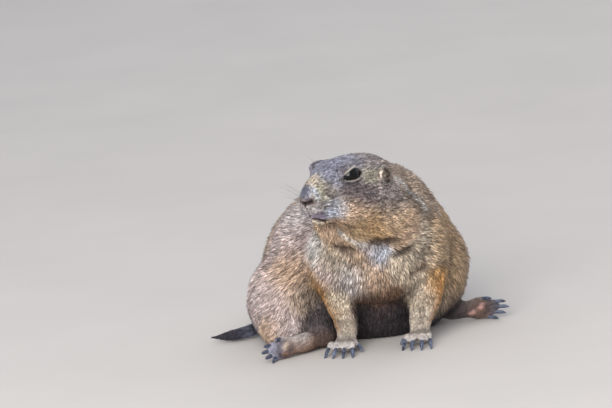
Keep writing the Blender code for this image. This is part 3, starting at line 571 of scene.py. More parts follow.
def swept(path: Array, radii: Array, across: Array, around: int) -> Tuple[Array, Array]:
    """Lays a round skin along a path: each ring is a circle of the path's radius, square to the path.

    Args:
        path: places, one row each.
        radii: the radius at each place.
        across: a direction that is not along the path.
        around: points in a ring.

    Returns:
        Vertices and faces, open at both ends.
    """
    along = unit(np.gradient(path, axis=0))
    side = unit(np.cross(across, along))
    up = np.cross(along, side)
    angle = np.linspace(0, 2 * math.pi, around, endpoint=False)[None, :, None]
    ring = side[:, None] * np.cos(angle) + up[:, None] * np.sin(angle)
    points = path[:, None] + ring * radii[:, None, None]
    return points.reshape(-1, 3), grid_faces(len(path), around)


class Shader:
    """A material and its node tree, with short ways to add and join nodes."""

    def __init__(self, name: str, roughness: float, specular: float = 0.5) -> None:
        """Starts a material with the values that are the same all over it."""
        self.material = bpy.data.materials.new(name)
        self.material.use_nodes = True
        self.tree = self.material.node_tree
        self.surface = self.tree.nodes["Principled BSDF"]
        self.surface.inputs["Roughness"].default_value = roughness
        self.surface.inputs["Specular IOR Level"].default_value = specular
        self.coordinates = self.tree.nodes.new("ShaderNodeTexCoord")

    def node(self, kind: str, **values: object) -> bpy.types.Node:
        """Adds a node and sets its properties."""
        made = self.tree.nodes.new(kind)
        for key, value in values.items():
            setattr(made, key, value)
        return made

    def join(self, start: bpy.types.NodeSocket, end: bpy.types.NodeSocket) -> None:
        """Links two sockets."""
        self.tree.links.new(start, end)

    def noise(self, scale: float, detail: float = 3.0,
              place: Optional[bpy.types.NodeSocket] = None) -> bpy.types.NodeSocket:
        """Adds noise over a place, or else over object coordinates, and returns its value's socket."""
        made = self.node("ShaderNodeTexNoise")
        made.inputs["Scale"].default_value = scale
        made.inputs["Detail"].default_value = detail
        self.join(place or self.coordinates.outputs["Object"], made.inputs["Vector"])
        return made.outputs["Fac"]

    def streaks(self, scale: float, stretch: float, turn: float) -> bpy.types.NodeSocket:
        """Adds noise drawn out along an axis that is turned round the upright, in object coordinates."""
        mapping = self.node("ShaderNodeMapping", vector_type="TEXTURE")
        mapping.inputs["Rotation"].default_value = (0.0, 0.0, math.radians(turn))
        mapping.inputs["Scale"].default_value = (1.0, stretch, 1.0)
        self.join(self.coordinates.outputs["Object"], mapping.inputs["Vector"])
        return self.noise(scale, place=mapping.outputs["Vector"])

    def ranged(self, value: bpy.types.NodeSocket, low: float, high: float) -> bpy.types.NodeSocket:
        """Maps the middle of a noise's range to between low and high."""
        made = self.node("ShaderNodeMapRange")
        for key, limit in (("From Min", 0.3), ("From Max", 0.7), ("To Min", low), ("To Max", high)):
            made.inputs[key].default_value = limit
        self.join(value, made.inputs["Value"])
        return made.outputs["Result"]

    def attribute(self, name: str) -> bpy.types.NodeSocket:
        """Returns the colour socket of a mesh attribute."""
        made = self.node("ShaderNodeAttribute", attribute_name=name, attribute_type="GEOMETRY")
        return made.outputs["Color"]

    def times(self, colour: bpy.types.NodeSocket, value: bpy.types.NodeSocket) -> bpy.types.NodeSocket:
        """Multiplies a colour by a value and returns the result's socket."""
        made = self.node("ShaderNodeVectorMath", operation="SCALE")
        self.join(colour, made.inputs[0])
        self.join(value, made.inputs["Scale"])
        return made.outputs["Vector"]

    def blend(self, first: Sequence, second: Sequence, share: bpy.types.NodeSocket) -> None:
        """Makes the base colour run from one linear colour to another by a share."""
        made = self.node("ShaderNodeMix", data_type="RGBA")
        made.inputs["A"].default_value = (*first, 1)
        made.inputs["B"].default_value = (*second, 1)
        self.join(share, made.inputs["Factor"])
        self.join(made.outputs["Result"], self.surface.inputs["Base Color"])

    def bump(self, height: bpy.types.NodeSocket, distance: float, strength: float) -> None:
        """Raises the surface by a height field."""
        made = self.node("ShaderNodeBump")
        made.inputs["Distance"].default_value = distance
        made.inputs["Strength"].default_value = strength
        self.join(height, made.inputs["Height"])
        self.join(made.outputs["Normal"], self.surface.inputs["Normal"])


@dataclass(frozen=True)
class FurFinish:
    """Soft dull hair: the painted colour, mottled finely, with a little sheen.

    Streaks is the range of the long streaks that run along the head; they are left out at (1, 1).
    """

    name: str
    roughness: float = 0.62
    sheen: float = 0.05
    mottle: Tuple[float, float] = (0.82, 1.16)
    scale: float = 900.0
    relief: float = 0.0
    streaks: Tuple[float, float] = (1.0, 1.0)
    specular: float = 0.22
    streak_scale: float = 820.0
    streak_stretch: float = 4.5

    def material(self) -> bpy.types.Material:
        """Builds the material."""
        shader = Shader(self.name, self.roughness, self.specular)
        fine = shader.ranged(shader.noise(self.scale), *self.mottle)
        colour = shader.times(shader.attribute("coat"), fine)
        if self.streaks != (1.0, 1.0):
            drawn = shader.streaks(self.streak_scale, self.streak_stretch, POSE.heading)
            colour = shader.times(colour, shader.ranged(drawn, *self.streaks))
        shader.join(colour, shader.surface.inputs["Base Color"])
        shader.surface.inputs["Sheen Weight"].default_value = self.sheen
        shader.surface.inputs["Sheen Roughness"].default_value = 0.5
        if self.relief:
            shader.bump(shader.noise(self.scale * 1.6, 5.0), self.relief, 0.5)
        return shader.material


@dataclass(frozen=True)
class WetFinish:
    """A wet, almost black eye under a thin clear coat."""

    name: str = "eye_wet"
    roughness: float = 0.05
    specular: float = 0.2
    cloud: float = 700.0
    colour: Triple = (7, 6, 7)
    lighter: float = 2.4
    clear: float = 0.12

    def material(self) -> bpy.types.Material:
        """Builds the material, a shade lighter in small clouds."""
        shader = Shader(self.name, self.roughness, self.specular)
        colour = linear(self.colour)
        shader.blend(colour, colour * self.lighter, shader.noise(self.cloud))
        shader.surface.inputs["Coat Weight"].default_value = self.clear
        shader.surface.inputs["Coat Roughness"].default_value = 0.02
        return shader.material


@dataclass(frozen=True)
class HornFinish:
    """Smooth dark horn, lighter in small clouds; on the claws the light bluish tone is painted sheen."""

    name: str = "claw_horn"
    dark: Triple = (30, 32, 42)
    # On the claws the light tone is a pale bluish painted sheen.
    light: Triple = (96, 104, 124)
    roughness: float = 0.3
    specular: float = 0.6
    cloud: float = 420.0
    grain: float = 1500.0
    relief: float = 0.00008

    def material(self) -> bpy.types.Material:
        """Builds the material."""
        shader = Shader(self.name, self.roughness, self.specular)
        clouds = shader.ranged(shader.noise(self.cloud), 0.0, 1.0)
        # The light tone, bluish on the claws, is painted sheen blended in clouds over the dark horn.
        shader.blend(linear(self.dark), linear(self.light), clouds)
        shader.bump(shader.noise(self.grain), self.relief, 0.4)
        return shader.material


class Skin:
    """One closed skin that stands for all the flesh, drawn inside the solids by the coat's depth.

    Faces are thinned out to the share that is kept where the hair is longer than thin_from, and fully
    so at thin_over more, in millimetres. Fine spots of the head (place and reach) get smaller faces,
    and the finest spot smaller ones still. Sockets sink over socket_edge down to socket_depth. A place
    counts fully as a crease where smoothing lifts it by crease; creases get painted shade and ridges
    painted light. The painted shade of the skin under the hair is darkest under deep_hair.
    """

    voxel: float = 0.85 * MM
    swell: float = 0.3 * MM
    depth_share: float = 0.34
    kept: float = 0.34
    thin_from: float = 2.6
    thin_over: float = 2.0
    fine: Tuple[Tuple[Triple, float], ...] = (
        ((0, -47, -6), 15.0), ((25, -4, 5), 8.0), ((17, -25, 11), 11.0))
    finest: Tuple[Tuple[Triple, float], ...] = (((0, -47, -6), 12.5),)
    socket_edge: float = 0.9
    socket_depth: float = 2.4
    socket_colour: Triple = (16, 13, 13)
    # Painted shade of the creases: the depth for full shade and its darkness; then the painted light of the
    # ridges.
    crease: float = 0.16 * MM
    crease_dark: float = 0.55
    ridge_light: float = 0.08
    # Painted shade of the skin under the hair: the hair length for the darkest shade, and how dark it is.
    deep_hair: float = 4 * MM
    hair_shade: float = 0.42

    def __init__(self, markings: Markings) -> None:
        """Keeps the markings that give the coat's depth."""
        self.markings = markings

    def fused(self) -> bpy.types.Object:
        """Joins copies of the flesh nodes, swollen to close the cuts, and fuses them by voxels."""
        bm = bmesh.new()
        for name in FLESH + ("eye_left", "eye_right"):
            bm.from_mesh(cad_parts[name].data)
        bmesh.ops.remove_doubles(bm, verts=bm.verts, dist=1e-6)
        mesh = bpy.data.meshes.new("skin")
        bm.to_mesh(mesh)
        bm.free()
        piece = bpy.data.objects.new("skin", mesh)
        bpy.context.scene.collection.objects.link(piece)
        swell = piece.modifiers.new("swell", "DISPLACE")
        swell.strength = self.swell
        swell.mid_level = 0.0
        fuse = piece.modifiers.new("fuse", "REMESH")
        fuse.mode = "VOXEL"
        fuse.voxel_size = self.voxel
        soften = piece.modifiers.new("soften", "SMOOTH")
        soften.factor = 0.5
        soften.iterations = 4
        applied(piece)
        return piece

    def thin_out(self, piece: bpy.types.Object) -> None:
        """Thins out the faces of the body, where long hair hides them, and keeps those of head and feet."""
        hair = self.markings.at(places_of(piece))[1]
        weight = np.clip((hair / MM - self.thin_from) / self.thin_over, 0, 1)
        group = piece.vertex_groups.new(name="body")
        for level in np.unique(np.round(weight, 1)):
            if level > 0:
                group.add(np.flatnonzero(np.round(weight, 1) == level).tolist(), float(level), "REPLACE")
        fewer = piece.modifiers.new("fewer", "DECIMATE")
        fewer.ratio = self.kept
        fewer.vertex_group = "body"
        fewer.use_collapse_triangulate = True
        applied(piece)
        piece.vertex_groups.clear()

    def refine(self, piece: bpy.types.Object, spots: Sequence[Tuple[Triple, float]]) -> None:
        """Splits each edge near these spots of the head, on both sides, in two."""
        bm = bmesh.new()
        bm.from_mesh(piece.data)
        bm.faces.ensure_lookup_table()
        centre = np.array([f.calc_center_median() for f in bm.faces])
        near = np.zeros(len(centre), bool)
        for place, reach in spots:
            for side in SIDES.values():
                near |= np.linalg.norm(centre - POSE.head(place, side), axis=1) < reach * MM
        edges = {e for k in np.flatnonzero(near) for e in bm.faces[k].edges}
        bmesh.ops.subdivide_edges(bm, edges=list(edges), cuts=1, use_grid_fill=True)
        bmesh.ops.triangulate(bm, faces=[f for f in bm.faces if len(f.verts) > 3])
        bm.to_mesh(piece.data)
        bm.free()

    def build(self) -> bpy.types.Object:
        """Returns the finished skin, sunk to the coat's roots, pressed in along its lines and painted."""
        piece = self.fused()
        self.thin_out(piece)
        self.refine(piece, self.fine)
        self.refine(piece, self.finest)
        places, normals = places_of(piece), normals_of(piece)
        hair = self.markings.at(places)[1]
        places = places - normals * (hair * self.depth_share + self.swell)[:, None]
        places = relaxed(piece, places, 4)
        places[:, 2] = np.maximum(places[:, 2], 0.0)
        settle(piece, places)
        self.markings.draw(piece)
        places = self.markings.press(places, normals_of(piece))
        places[:, 2] = np.maximum(places[:, 2], 0.0)
        inside = Almond().inside(places)
        sunk = np.clip(inside / self.socket_edge, 0, 1) * self.socket_depth * MM
        places -= normals_of(piece) * sunk[:, None]
        settle(piece, places)
        self.markings.draw(piece)
        # Painted shade under the hair darkens the skin where the coat is thick.
        colour = self.markings.at(places)[0] * self.shade(places)[:, None]
        colour = np.where((inside > 0)[:, None], linear(self.socket_colour), colour)
        # The skin's colour takes painted shade in the creases and painted light on the ridges.
        paint(piece, colour * self.hollow(piece, places)[:, None])
        piece.data.polygons.foreach_set("use_smooth", np.ones(len(piece.data.polygons), bool))
        unwrap(piece)
        return piece

    def hollow(self, piece: bpy.types.Object, places: Array) -> Array:
        """Returns painted shade for the creases and painted light for the ridges, as a factor on the colour,
        kept on the skin as an attribute named like this method.

        A place is in a crease where smoothing the skin would lift it along its normal.
        """
        lifted = np.sum((relaxed(piece, places, 8) - places) * normals_of(piece), axis=1) / self.crease
        made = 1.0 - self.crease_dark * np.clip(lifted, 0, 1) + self.ridge_light * np.clip(-lifted, 0, 1)
        # Painted shade where a place lies in a crease, painted light where it stands on a ridge.
        layer = piece.data.attributes.new("hollow", "FLOAT", "POINT")
        layer.data.foreach_set("value", made.astype(np.float32))
        return made

    def shade(self, places: Array) -> Array:
        """Returns the painted shade of the skin under the hair: dark under a thick coat, its own colour
        where bare.
        """
        hair = self.markings.at(places)[1]
        return 1.0 - self.hair_shade * np.clip(hair / self.deep_hair, 0, 1)


def settle(piece: bpy.types.Object, places: Array) -> None:
    """Puts new places into a mesh."""
    piece.data.vertices.foreach_set("co", places.astype(np.float32).ravel())
    piece.data.update()


def applied(piece: bpy.types.Object) -> None:
    """Makes what the piece's modifiers show its own mesh."""
    graph = bpy.context.evaluated_depsgraph_get()
    mesh = bpy.data.meshes.new_from_object(piece.evaluated_get(graph))
    piece.modifiers.clear()
    piece.data = mesh


def fetched(items: bpy.types.bpy_prop_collection, name: str, width: int, kind: type = np.float32) -> Array:
    """Returns one property of all the items, as rows of this width."""
    flat = np.empty(len(items) * width, kind)
    items.foreach_get(name, flat)
    return flat.reshape(-1, width)


def places_of(piece: bpy.types.Object) -> Array:
    """Returns the vertices of a piece as rows."""
    return fetched(piece.data.vertices, "co", 3).astype(float)


def normals_of(piece: bpy.types.Object) -> Array:
    """Returns the vertex normals of a piece as rows."""
    return fetched(piece.data.vertices, "normal", 3).astype(float)


def triangles_of(piece: bpy.types.Object) -> Array:
    """Returns the triangles of a piece as rows of vertex numbers."""
    piece.data.calc_loop_triangles()
    return fetched(piece.data.loop_triangles, "vertices", 3, np.int32)


def tree_of(piece: bpy.types.Object) -> BVHTree:
    """Returns a search tree over the triangles of a piece."""
    return BVHTree.FromPolygons(places_of(piece).tolist(), triangles_of(piece).tolist())


def relaxed(piece: bpy.types.Object, places: Array, rounds: int) -> Array:
    """Moves each vertex half way to the mean of its neighbours, a few times over."""
    a, b = fetched(piece.data.edges, "vertices", 2, np.int32).T
    count = np.bincount(a, minlength=len(places)) + np.bincount(b, minlength=len(places))
    for _ in range(rounds):
        total = np.stack([np.bincount(a, places[b, k], len(places))
                          + np.bincount(b, places[a, k], len(places)) for k in range(3)], axis=1)
        places = places * 0.5 + 0.5 * total / count[:, None]
    return places


def unwrap(piece: bpy.types.Object) -> None:
    """Lays the skin out flat in islands that don't overlap."""
    piece.data.uv_layers.new(name="OFBake")
    bpy.ops.object.select_all(action="DESELECT")
    piece.select_set(True)
    bpy.context.view_layer.objects.active = piece
    bpy.ops.object.mode_set(mode="EDIT")
    bpy.ops.mesh.select_all(action="SELECT")
    bpy.ops.uv.smart_project(angle_limit=math.radians(66), island_margin=0.001)
    bpy.ops.object.mode_set(mode="OBJECT")


@dataclass(frozen=True)
class Tuft:
    """A closed tuft of few faces: where its corners lie and how they are joined.

    Rows of shape are a corner's place along the hair from 0 to 1, its place across in half widths, its
    height in half widths, and its shade. Spots are the corners' places on the bake map in half patches.
    Width is that of a hair one millimetre long and lock the size of a lock, in millimetres. Longest is
    the most that a hair outgrows the coat, and raised how far it stands up.
    """

    shape: Tuple[Tuple[float, float, float, float], ...]
    spots: Tuple[Tuple[float, float], ...]
    faces: Tuple[Triple, ...]
    width: float
    lock: float
    longest: float
    raised: float


BLADE = Tuft(
    shape=((0, -0.9, 0, 0.6), (0, 0.9, 0, 0.6), (0.5, -0.85, -0.1, 1.0), (0.5, 0.85, -0.1, 1.0),
           (0.5, 0, 0.35, 1.05), (1, 0, 0, 1.28)),
    spots=((-1, -1), (1, -1), (-0.9, 0.1), (0.9, 0.1), (0, -0.1), (0, 1)),
    faces=((0, 1, 4), (0, 4, 2), (1, 3, 4), (2, 4, 5), (4, 3, 5), (0, 2, 3), (0, 3, 1), (2, 5, 3)),
    width=0.105, lock=3.4, longest=1.3, raised=1.0)
SPIKE = Tuft(
    shape=((0, -1, 0, 0.75), (0, 1, 0, 0.75), (0, 0, 0.5, 0.85), (1, 0, 0.2, 1.2)),
    spots=((-1, -1), (1, -1), (0, -0.5), (0, 1)),
    faces=((0, 2, 3), (2, 1, 3), (0, 1, 2), (0, 3, 1)),
    width=0.15, lock=1.3, longest=1.15, raised=0.75)


@dataclass(frozen=True)
class Roots:
    """Where tufts grow: rows of places, the skin's normals and layout there, and the coat's values."""

    at: Array
    normal: Array
    uv: Array
    colour: Array
    hair: Array
    lie: Array
    part: Array

    def some(self, index: Array) -> "Roots":
        """Returns only these roots."""
        return Roots(*(getattr(self, field.name)[index] for field in fields(self)))


def laid_flat(normal: Array, lie: Array) -> Array:
    """Returns the lie laid flat on to the skin."""
    return unit(lie - normal * np.sum(lie * normal, axis=1)[:, None] + 1e-6)


class Coat:
    """The tufts: long bent blades on the body and short straight spikes on the face and feet.

    Spikes take over under the hair length short, and nothing grows under the length bare, nearer to
    the ground than floor or within lids of an eye's middle. Hair of the lengths even_blades and
    even_spikes stands evenly, and shorter hair denser. Patch is a tuft's width on the bake map, and seen
    tells how far along the hair its colour is taken from the skin. Waves and lift_wave are pairs of
    strength and length of the soft waves in which the hair sways and lifts. Guard and white are pairs of
    a hair's share of the coat and its shade.
    """

    blades: int = 132000
    spikes: int = 100000
    short: float = 2.3 * MM
    bare: float = 0.45 * MM
    floor: float = 0.7 * MM
    lids: float = 6.9 * MM
    even_blades: float = 9 * MM
    even_spikes: float = 2 * MM
    patch: float = 0.0030
    most_faces: int = 190000
    seen: float = 0.5
    sway: float = 0.10
    waves: Tuple[Tuple[float, float], ...] = ((0.20, 11 * MM), (0.16, 4.2 * MM))
    lift: Tuple[float, float] = (0.2, 0.44)
    lift_wave: Tuple[float, float] = (0.09, 7 * MM)
    full_length: float = 5 * MM
    run: float = 0.93
    sunk: float = 0.05
    gathered: float = 0.55
    lock_shade: float = 0.17
    hair_shade: float = 0.14
    guard: Tuple[float, float] = (0.11, 0.55)
    white: Tuple[float, float] = (0.12, 1.4)

    def __init__(self, markings: Markings, skin: bpy.types.Object) -> None:
        """Reads the skin that the tufts grow from."""
        self.markings = markings
        self.rng = np.random.default_rng(SEED)
        mesh = skin.data
        tri = triangles_of(skin)
        self.corner = places_of(skin)[tri]
        self.normal = normals_of(skin)[tri]
        loops = fetched(mesh.loop_triangles, "loops", 3, np.int32)
        self.uv = fetched(mesh.uv_layers["OFBake"].data, "uv", 2)[loops]
        # The skin's painted crease shade and ridge light, for the tufts' roots.
        self.hollow = fetched(mesh.attributes["hollow"].data, "value", 1)[tri, 0]
        across = np.cross(self.corner[:, 1] - self.corner[:, 0], self.corner[:, 2] - self.corner[:, 0])
        self.area = np.linalg.norm(across, axis=1) / 2
        middle = self.corner.mean(axis=1)
        self.hair = self.markings.at(middle)[1]
        self.open = (self.hair > self.bare) & (middle[:, 2] > self.floor) & ~self.by_an_eye(middle)

    def by_an_eye(self, places: Array) -> Array:
        """Tells which places lie under the lids."""
        near = Almond().inside(places) > 0
        for side in SIDES:
            near |= np.linalg.norm(places - ball(side)[0], axis=1) < self.lids
        return near

    def roots(self, chance: Array, count: int) -> Roots:
        """Scatters roots over the skin's triangles by their chance.

        A root's place in its triangle is a pair of random numbers folded into the triangle. Its colour
        is that of the skin where the hair's middle comes to lie, times the painted crease shade and ridge
        light at its root.
        """
        total = np.cumsum(chance)
        pick = np.searchsorted(total, np.sort(self.rng.random(count)) * total[-1])
        pick = np.minimum(pick, len(chance) - 1)
        r1, r2 = self.rng.random((2, count))
        r1, r2 = np.where(r1 + r2 > 1, 1 - r1, r1), np.where(r1 + r2 > 1, 1 - r2, r2)
        weights = np.stack([1 - r1 - r2, r1, r2], axis=1)[:, :, None]
        at = (self.corner[pick] * weights).sum(axis=1)
        normal = unit((self.normal[pick] * weights).sum(axis=1))
        _, hair, lie, part = self.markings.at(at)
        colour = self.markings.at(at + laid_flat(normal, lie) * (hair * self.seen)[:, None])[0]
        # Each root takes the skin's painted crease shade and ridge light.
        colour = colour * (self.hollow[pick] * weights[:, :, 0]).sum(axis=1)[:, None]
        return Roots(at, normal, (self.uv[pick] * weights).sum(axis=1), colour, hair, lie, part)

    def build(self) -> List[bpy.types.Object]:
        """Returns the coat's pieces, each a stretch of one part of the body.

        Short hair stands denser, up to a limit, so that it hides the skin as well as long hair does.
        """
        long = np.clip(self.hair / self.short - 0.6, 0, 1)
        thickness = self.area * self.open * np.clip(self.even_blades / self.hair, 1.0, 3.4)
        pieces = self.grown("coat", BLADE, self.roots(thickness * long, self.blades))
        fine = self.area * self.open * np.clip(self.even_spikes / self.hair, 1.0, 1.6)
        pieces += self.grown("down", SPIKE, self.roots(fine * (1 - long), self.spikes))
        return pieces

    def grown(self, kind: str, tuft: Tuft, roots: Roots) -> List[bpy.types.Object]:
        """Makes the pieces of one kind of tuft, split by part of the body and then by place."""
        most = self.most_faces // len(tuft.faces)
        pieces = []
        for index, name in enumerate(self.markings.order):
            mine = np.flatnonzero(roots.part == index)
            if not len(mine):
                continue
            mine = mine[np.argsort(roots.at[mine, 0])]
            for k, some in enumerate(np.array_split(mine, math.ceil(len(mine) / most))):
                pieces.append(self.stretch(f"{kind}_{name.value}_{k + 1}", tuft, roots.some(some)))
        return pieces

    def stretch(self, name: str, tuft: Tuft, roots: Roots) -> bpy.types.Object:
        """Makes one piece of the coat.

        A tuft's middle line rises along the normal as lift times (1.7 u minus 0.9 u squared) while it
        runs u along the lie, with u from 0 at the root to 1 at the tip, and leans towards the middle of
        its lock by u squared. Hairs sway from the lie by chance and in two soft waves.

        Args:
            name: the piece's name.
            tuft: the kind of tuft.
            roots: where its tufts grow.

        Returns:
            The piece, painted, laid out and riding.
        """
        rng, at, normal = self.rng, roots.at, roots.normal
        count = len(at)
        size = roots.hair * rng.uniform(0.75, tuft.longest, count)
        way = laid_flat(normal, roots.lie)
        side = np.cross(way, normal)
        long = np.clip(size / self.full_length, 0.15, 1)
        (wide, wide_size), (fine, fine_size) = self.waves
        sway = (rng.normal(0, self.sway, count) + wide * self.drift(at, wide_size)
                + fine * self.drift(at, fine_size) * long)
        way = unit(way * np.cos(sway)[:, None] + side * np.sin(sway)[:, None])
        side = np.cross(way, normal)
        strength, wave = self.lift_wave
        lift = rng.uniform(*self.lift, count) + strength * self.drift(at[:, [2, 0, 1]], wave) * long
        lift *= tuft.raised
        width = tuft.width * MM * (size / MM) ** 0.52 * rng.uniform(0.75, 1.25, count)
        lock, shade = self.locks(at, way, tuft.lock * MM)
        shape = np.array(tuft.shape)
        u = shape[:, 0]
        rise = np.outer(lift, 1.7 * u - 0.9 * u ** 2) - self.sunk
        points = (at[:, None] + way[:, None] * (size[:, None] * u * self.run)[:, :, None]
                  + normal[:, None] * (size[:, None] * rise)[:, :, None]
                  + side[:, None] * (width[:, None] * shape[:, 1])[:, :, None]
                  + normal[:, None] * (width[:, None] * shape[:, 2])[:, :, None]
                  + lock[:, None] * np.outer(self.gathered * long, u ** 2)[:, :, None])
        points[:, :, 2] = np.maximum(points[:, :, 2], 0.05 * MM)
        faces = (np.array(tuft.faces)[None] + (np.arange(count) * len(u))[:, None, None]).reshape(-1, 3)
        piece = object_of(name, points.reshape(-1, 3), faces)
        self.tint(piece, roots.colour, shade, shape[:, 3])
        self.lay_out(piece, roots.uv, tuft)
        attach(piece, "root")
        return piece

    def locks(self, at: Array, way: Array, size: float) -> Tuple[Array, Array]:
        """Gathers roots into locks: cells of a turned grid, longer along the lie.

        Returns:
            Each root's step towards the middle of its lock, and a shade that the lock shares.
        """
        warped = at + 0.25 * size * np.sin(at[:, [1, 2, 0]] * 2 * math.pi / (3.1 * size))
        cell = np.floor(warped / size).astype(np.int64)
        key = cell @ np.array([73856093, 19349663, 83492791])
        _, index = np.unique(key, return_inverse=True)
        count = np.bincount(index)
        middle = np.stack([np.bincount(index, at[:, k]) / count for k in range(3)], axis=1)[index]
        step = middle - at
        step -= way * np.sum(step * way, axis=1)[:, None]
        shade = self.rng.normal(1.0, self.lock_shade, len(count))[index]
        return step, shade

    @staticmethod
    def drift(at: Array, size: float) -> Array:
        """Returns a soft wave over space between -1 and 1, made of sines along three directions."""
        k = 2 * math.pi / size
        return (np.sin(k * (at @ np.array([0.71, 0.29, 0.64])) + 1.3)
                * np.sin(k * (at @ np.array([-0.52, 0.81, 0.27])) + 4.1)
                + np.sin(k * 0.6 * (at @ np.array([0.33, -0.56, 0.76])) + 2.2)) / 2

    def tint(self, piece: bpy.types.Object, colour: Array, shade: Array, along: Array) -> None:
        """Colours each tuft: dark at the root, its own shade in the middle and a paler tip.

        Most tufts stay near their patch's colour, some are dark guard hairs and some are almost white,
        which gives the coat its speckle.
        """
        draw = self.rng.random(len(colour))
        shade = shade * self.rng.normal(1.0, self.hair_shade, len(colour))
        shade = np.where(draw < self.guard[0], shade * self.guard[1], shade)
        shade = np.where(draw > 1 - self.white[0], shade * self.white[1], shade)
        base = colour * np.clip(shade, 0.25, 1.9)[:, None]
        paint(piece, np.clip(base[:, None] * along[None, :, None], 0, 0.95).reshape(-1, 3))

    def lay_out(self, piece: bpy.types.Object, uv: Array, tuft: Tuft) -> None:
        """Gives each tuft a small patch of the bake map at its root's place on the skin's layout."""
        half = self.patch / 2
        layer = piece.data.uv_layers.new(name="OFBake")
        places = np.clip(uv, half, 1 - half)[:, None] + np.array(tuft.spots)[None] * half
        loops = places[:, np.array(tuft.faces).ravel()].reshape(-1, 2)
        layer.data.foreach_set("uv", loops.astype(np.float32).ravel())


def ball(side: str) -> Tuple[Array, float]:
    """Returns an eyeball's centre and radius, from its node's box."""
    low, high = (np.array(corner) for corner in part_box("eye_" + side))
    return (low + high) / 2, (high - low).mean() / 2


class Eyes:
    """The eyeballs: smooth wet balls in place of the solids'."""

    steps: int = 40

    def build(self) -> List[bpy.types.Object]:
        """Returns both eyeballs. A point is the radius times the unit ball's, as rings of latitude."""
        made = []
        for side in SIDES:
            centre, radius = ball(side)
            polar = np.linspace(0.001, math.pi - 0.001, self.steps)[:, None]
            turn = np.linspace(0, 2 * math.pi, self.steps * 2, endpoint=False)[None]
            points = np.stack([np.sin(polar) * np.cos(turn), np.sin(polar) * np.sin(turn),
                               np.cos(polar) + 0 * turn], axis=-1).reshape(-1, 3)
            faces = grid_faces(self.steps, self.steps * 2)[:, ::-1]
            piece = object_of("eyeball_" + side, centre + points * radius, faces)
            closed(piece)
            piece.data.materials.append(WetFinish().material())
            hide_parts("eye_" + side)
            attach(piece, "root")
            made.append(piece)
        return made


class Lids:
    """The rims of the eyelids: a closed band round each almond, on the ball and the skin.

    The band's section is a loop of (step outward, height) in millimetres. At each step the higher of
    the ball and the skin is found along the head's x axis, and the height is added along the gaze.
    Surfaces are sought inwards from far on that axis, and deep is taken where there is none. Corner is
    the y round which the band darkens in front, and over what width.
    """

    section: Tuple[Tuple[float, float], ...] = (
        (0.0, -0.5), (-0.05, 0.1), (0.12, 0.3), (0.38, 0.4), (0.7, 0.36), (1.1, 0.16), (1.7, -0.35),
        (2.4, -0.9), (1.4, -1.3), (0.5, -1.0))
    shades: Tuple[Triple, ...] = (
        (14, 11, 11), (16, 12, 12), (34, 28, 28), (120, 114, 106), (158, 152, 142), (112, 102, 104),
        (86, 78, 84), (86, 78, 84), (50, 44, 44), (20, 16, 16))
    gaze: Triple = (0.86, -0.40, 0.26)
    far: float = 45.0
    deep: float = 15.0
    corner: Tuple[float, float] = (-32.0, 3.2)

    def __init__(self, skin: bpy.types.Object, balls: Sequence[bpy.types.Object]) -> None:
        """Keeps the surfaces that the band lies on."""
        self.trees = [tree_of(piece) for piece in (skin, *balls)]

    def height(self, flat: Array, side: float) -> float:
        """Returns the x of the highest surface at a (y, z) of the head, counted outwards."""
        start, way = Vector(POSE.head((self.far, *flat), side)), Vector(POSE.way((-1, 0, 0), side))
        hits = [tree.ray_cast(start, way, 40 * MM)[3] for tree in self.trees]
        return self.far - min((h for h in hits if h is not None), default=(self.far - self.deep) * MM) / MM

    def build(self) -> List[bpy.types.Object]:
        """Returns the rims of both eyes."""
        almond = Almond()
        ring = almond.outline()
        out = almond.outward(ring)
        made = []
        for side, sign in SIDES.items():
            rows = []
            for step, height in self.section:
                flat = ring + out * step
                base = rounded(np.array([self.height(f, sign) for f in flat]), 2)
                own = np.concatenate([base[:, None], flat], axis=1) + unit(np.array(self.gaze)) * height
                rows.append(POSE.head(own, sign))
            count = len(self.section)
            faces = grid_faces(count + 1, almond.steps)
            piece = object_of("lids_" + side, np.concatenate(rows), faces % (count * almond.steps))
            shades = linear(self.shades)[:, None]
            front = np.exp(-((ring[:, 0] - self.corner[0]) / self.corner[1]) ** 2)
            paint(piece, (shades * (1 - 0.75 * front)[None, :, None]).reshape(-1, 3))
            piece.data.materials.append(FurFinish("lid_skin", 0.45, 0.1, (0.85, 1.12), 1800.0).material())
            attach(piece, "root")
            made.append(piece)
        return made


@dataclass(frozen=True)
class Bristles:
    """A row of stiff hairs from one spot of the head to another, in the head's millimetres.

    Way is the direction in which the left side's hairs grow, and far_way the right side's mirrored.
    """

    start: Triple
    end: Triple
    count: int
    way: Triple
    far_way: Triple
    length: float


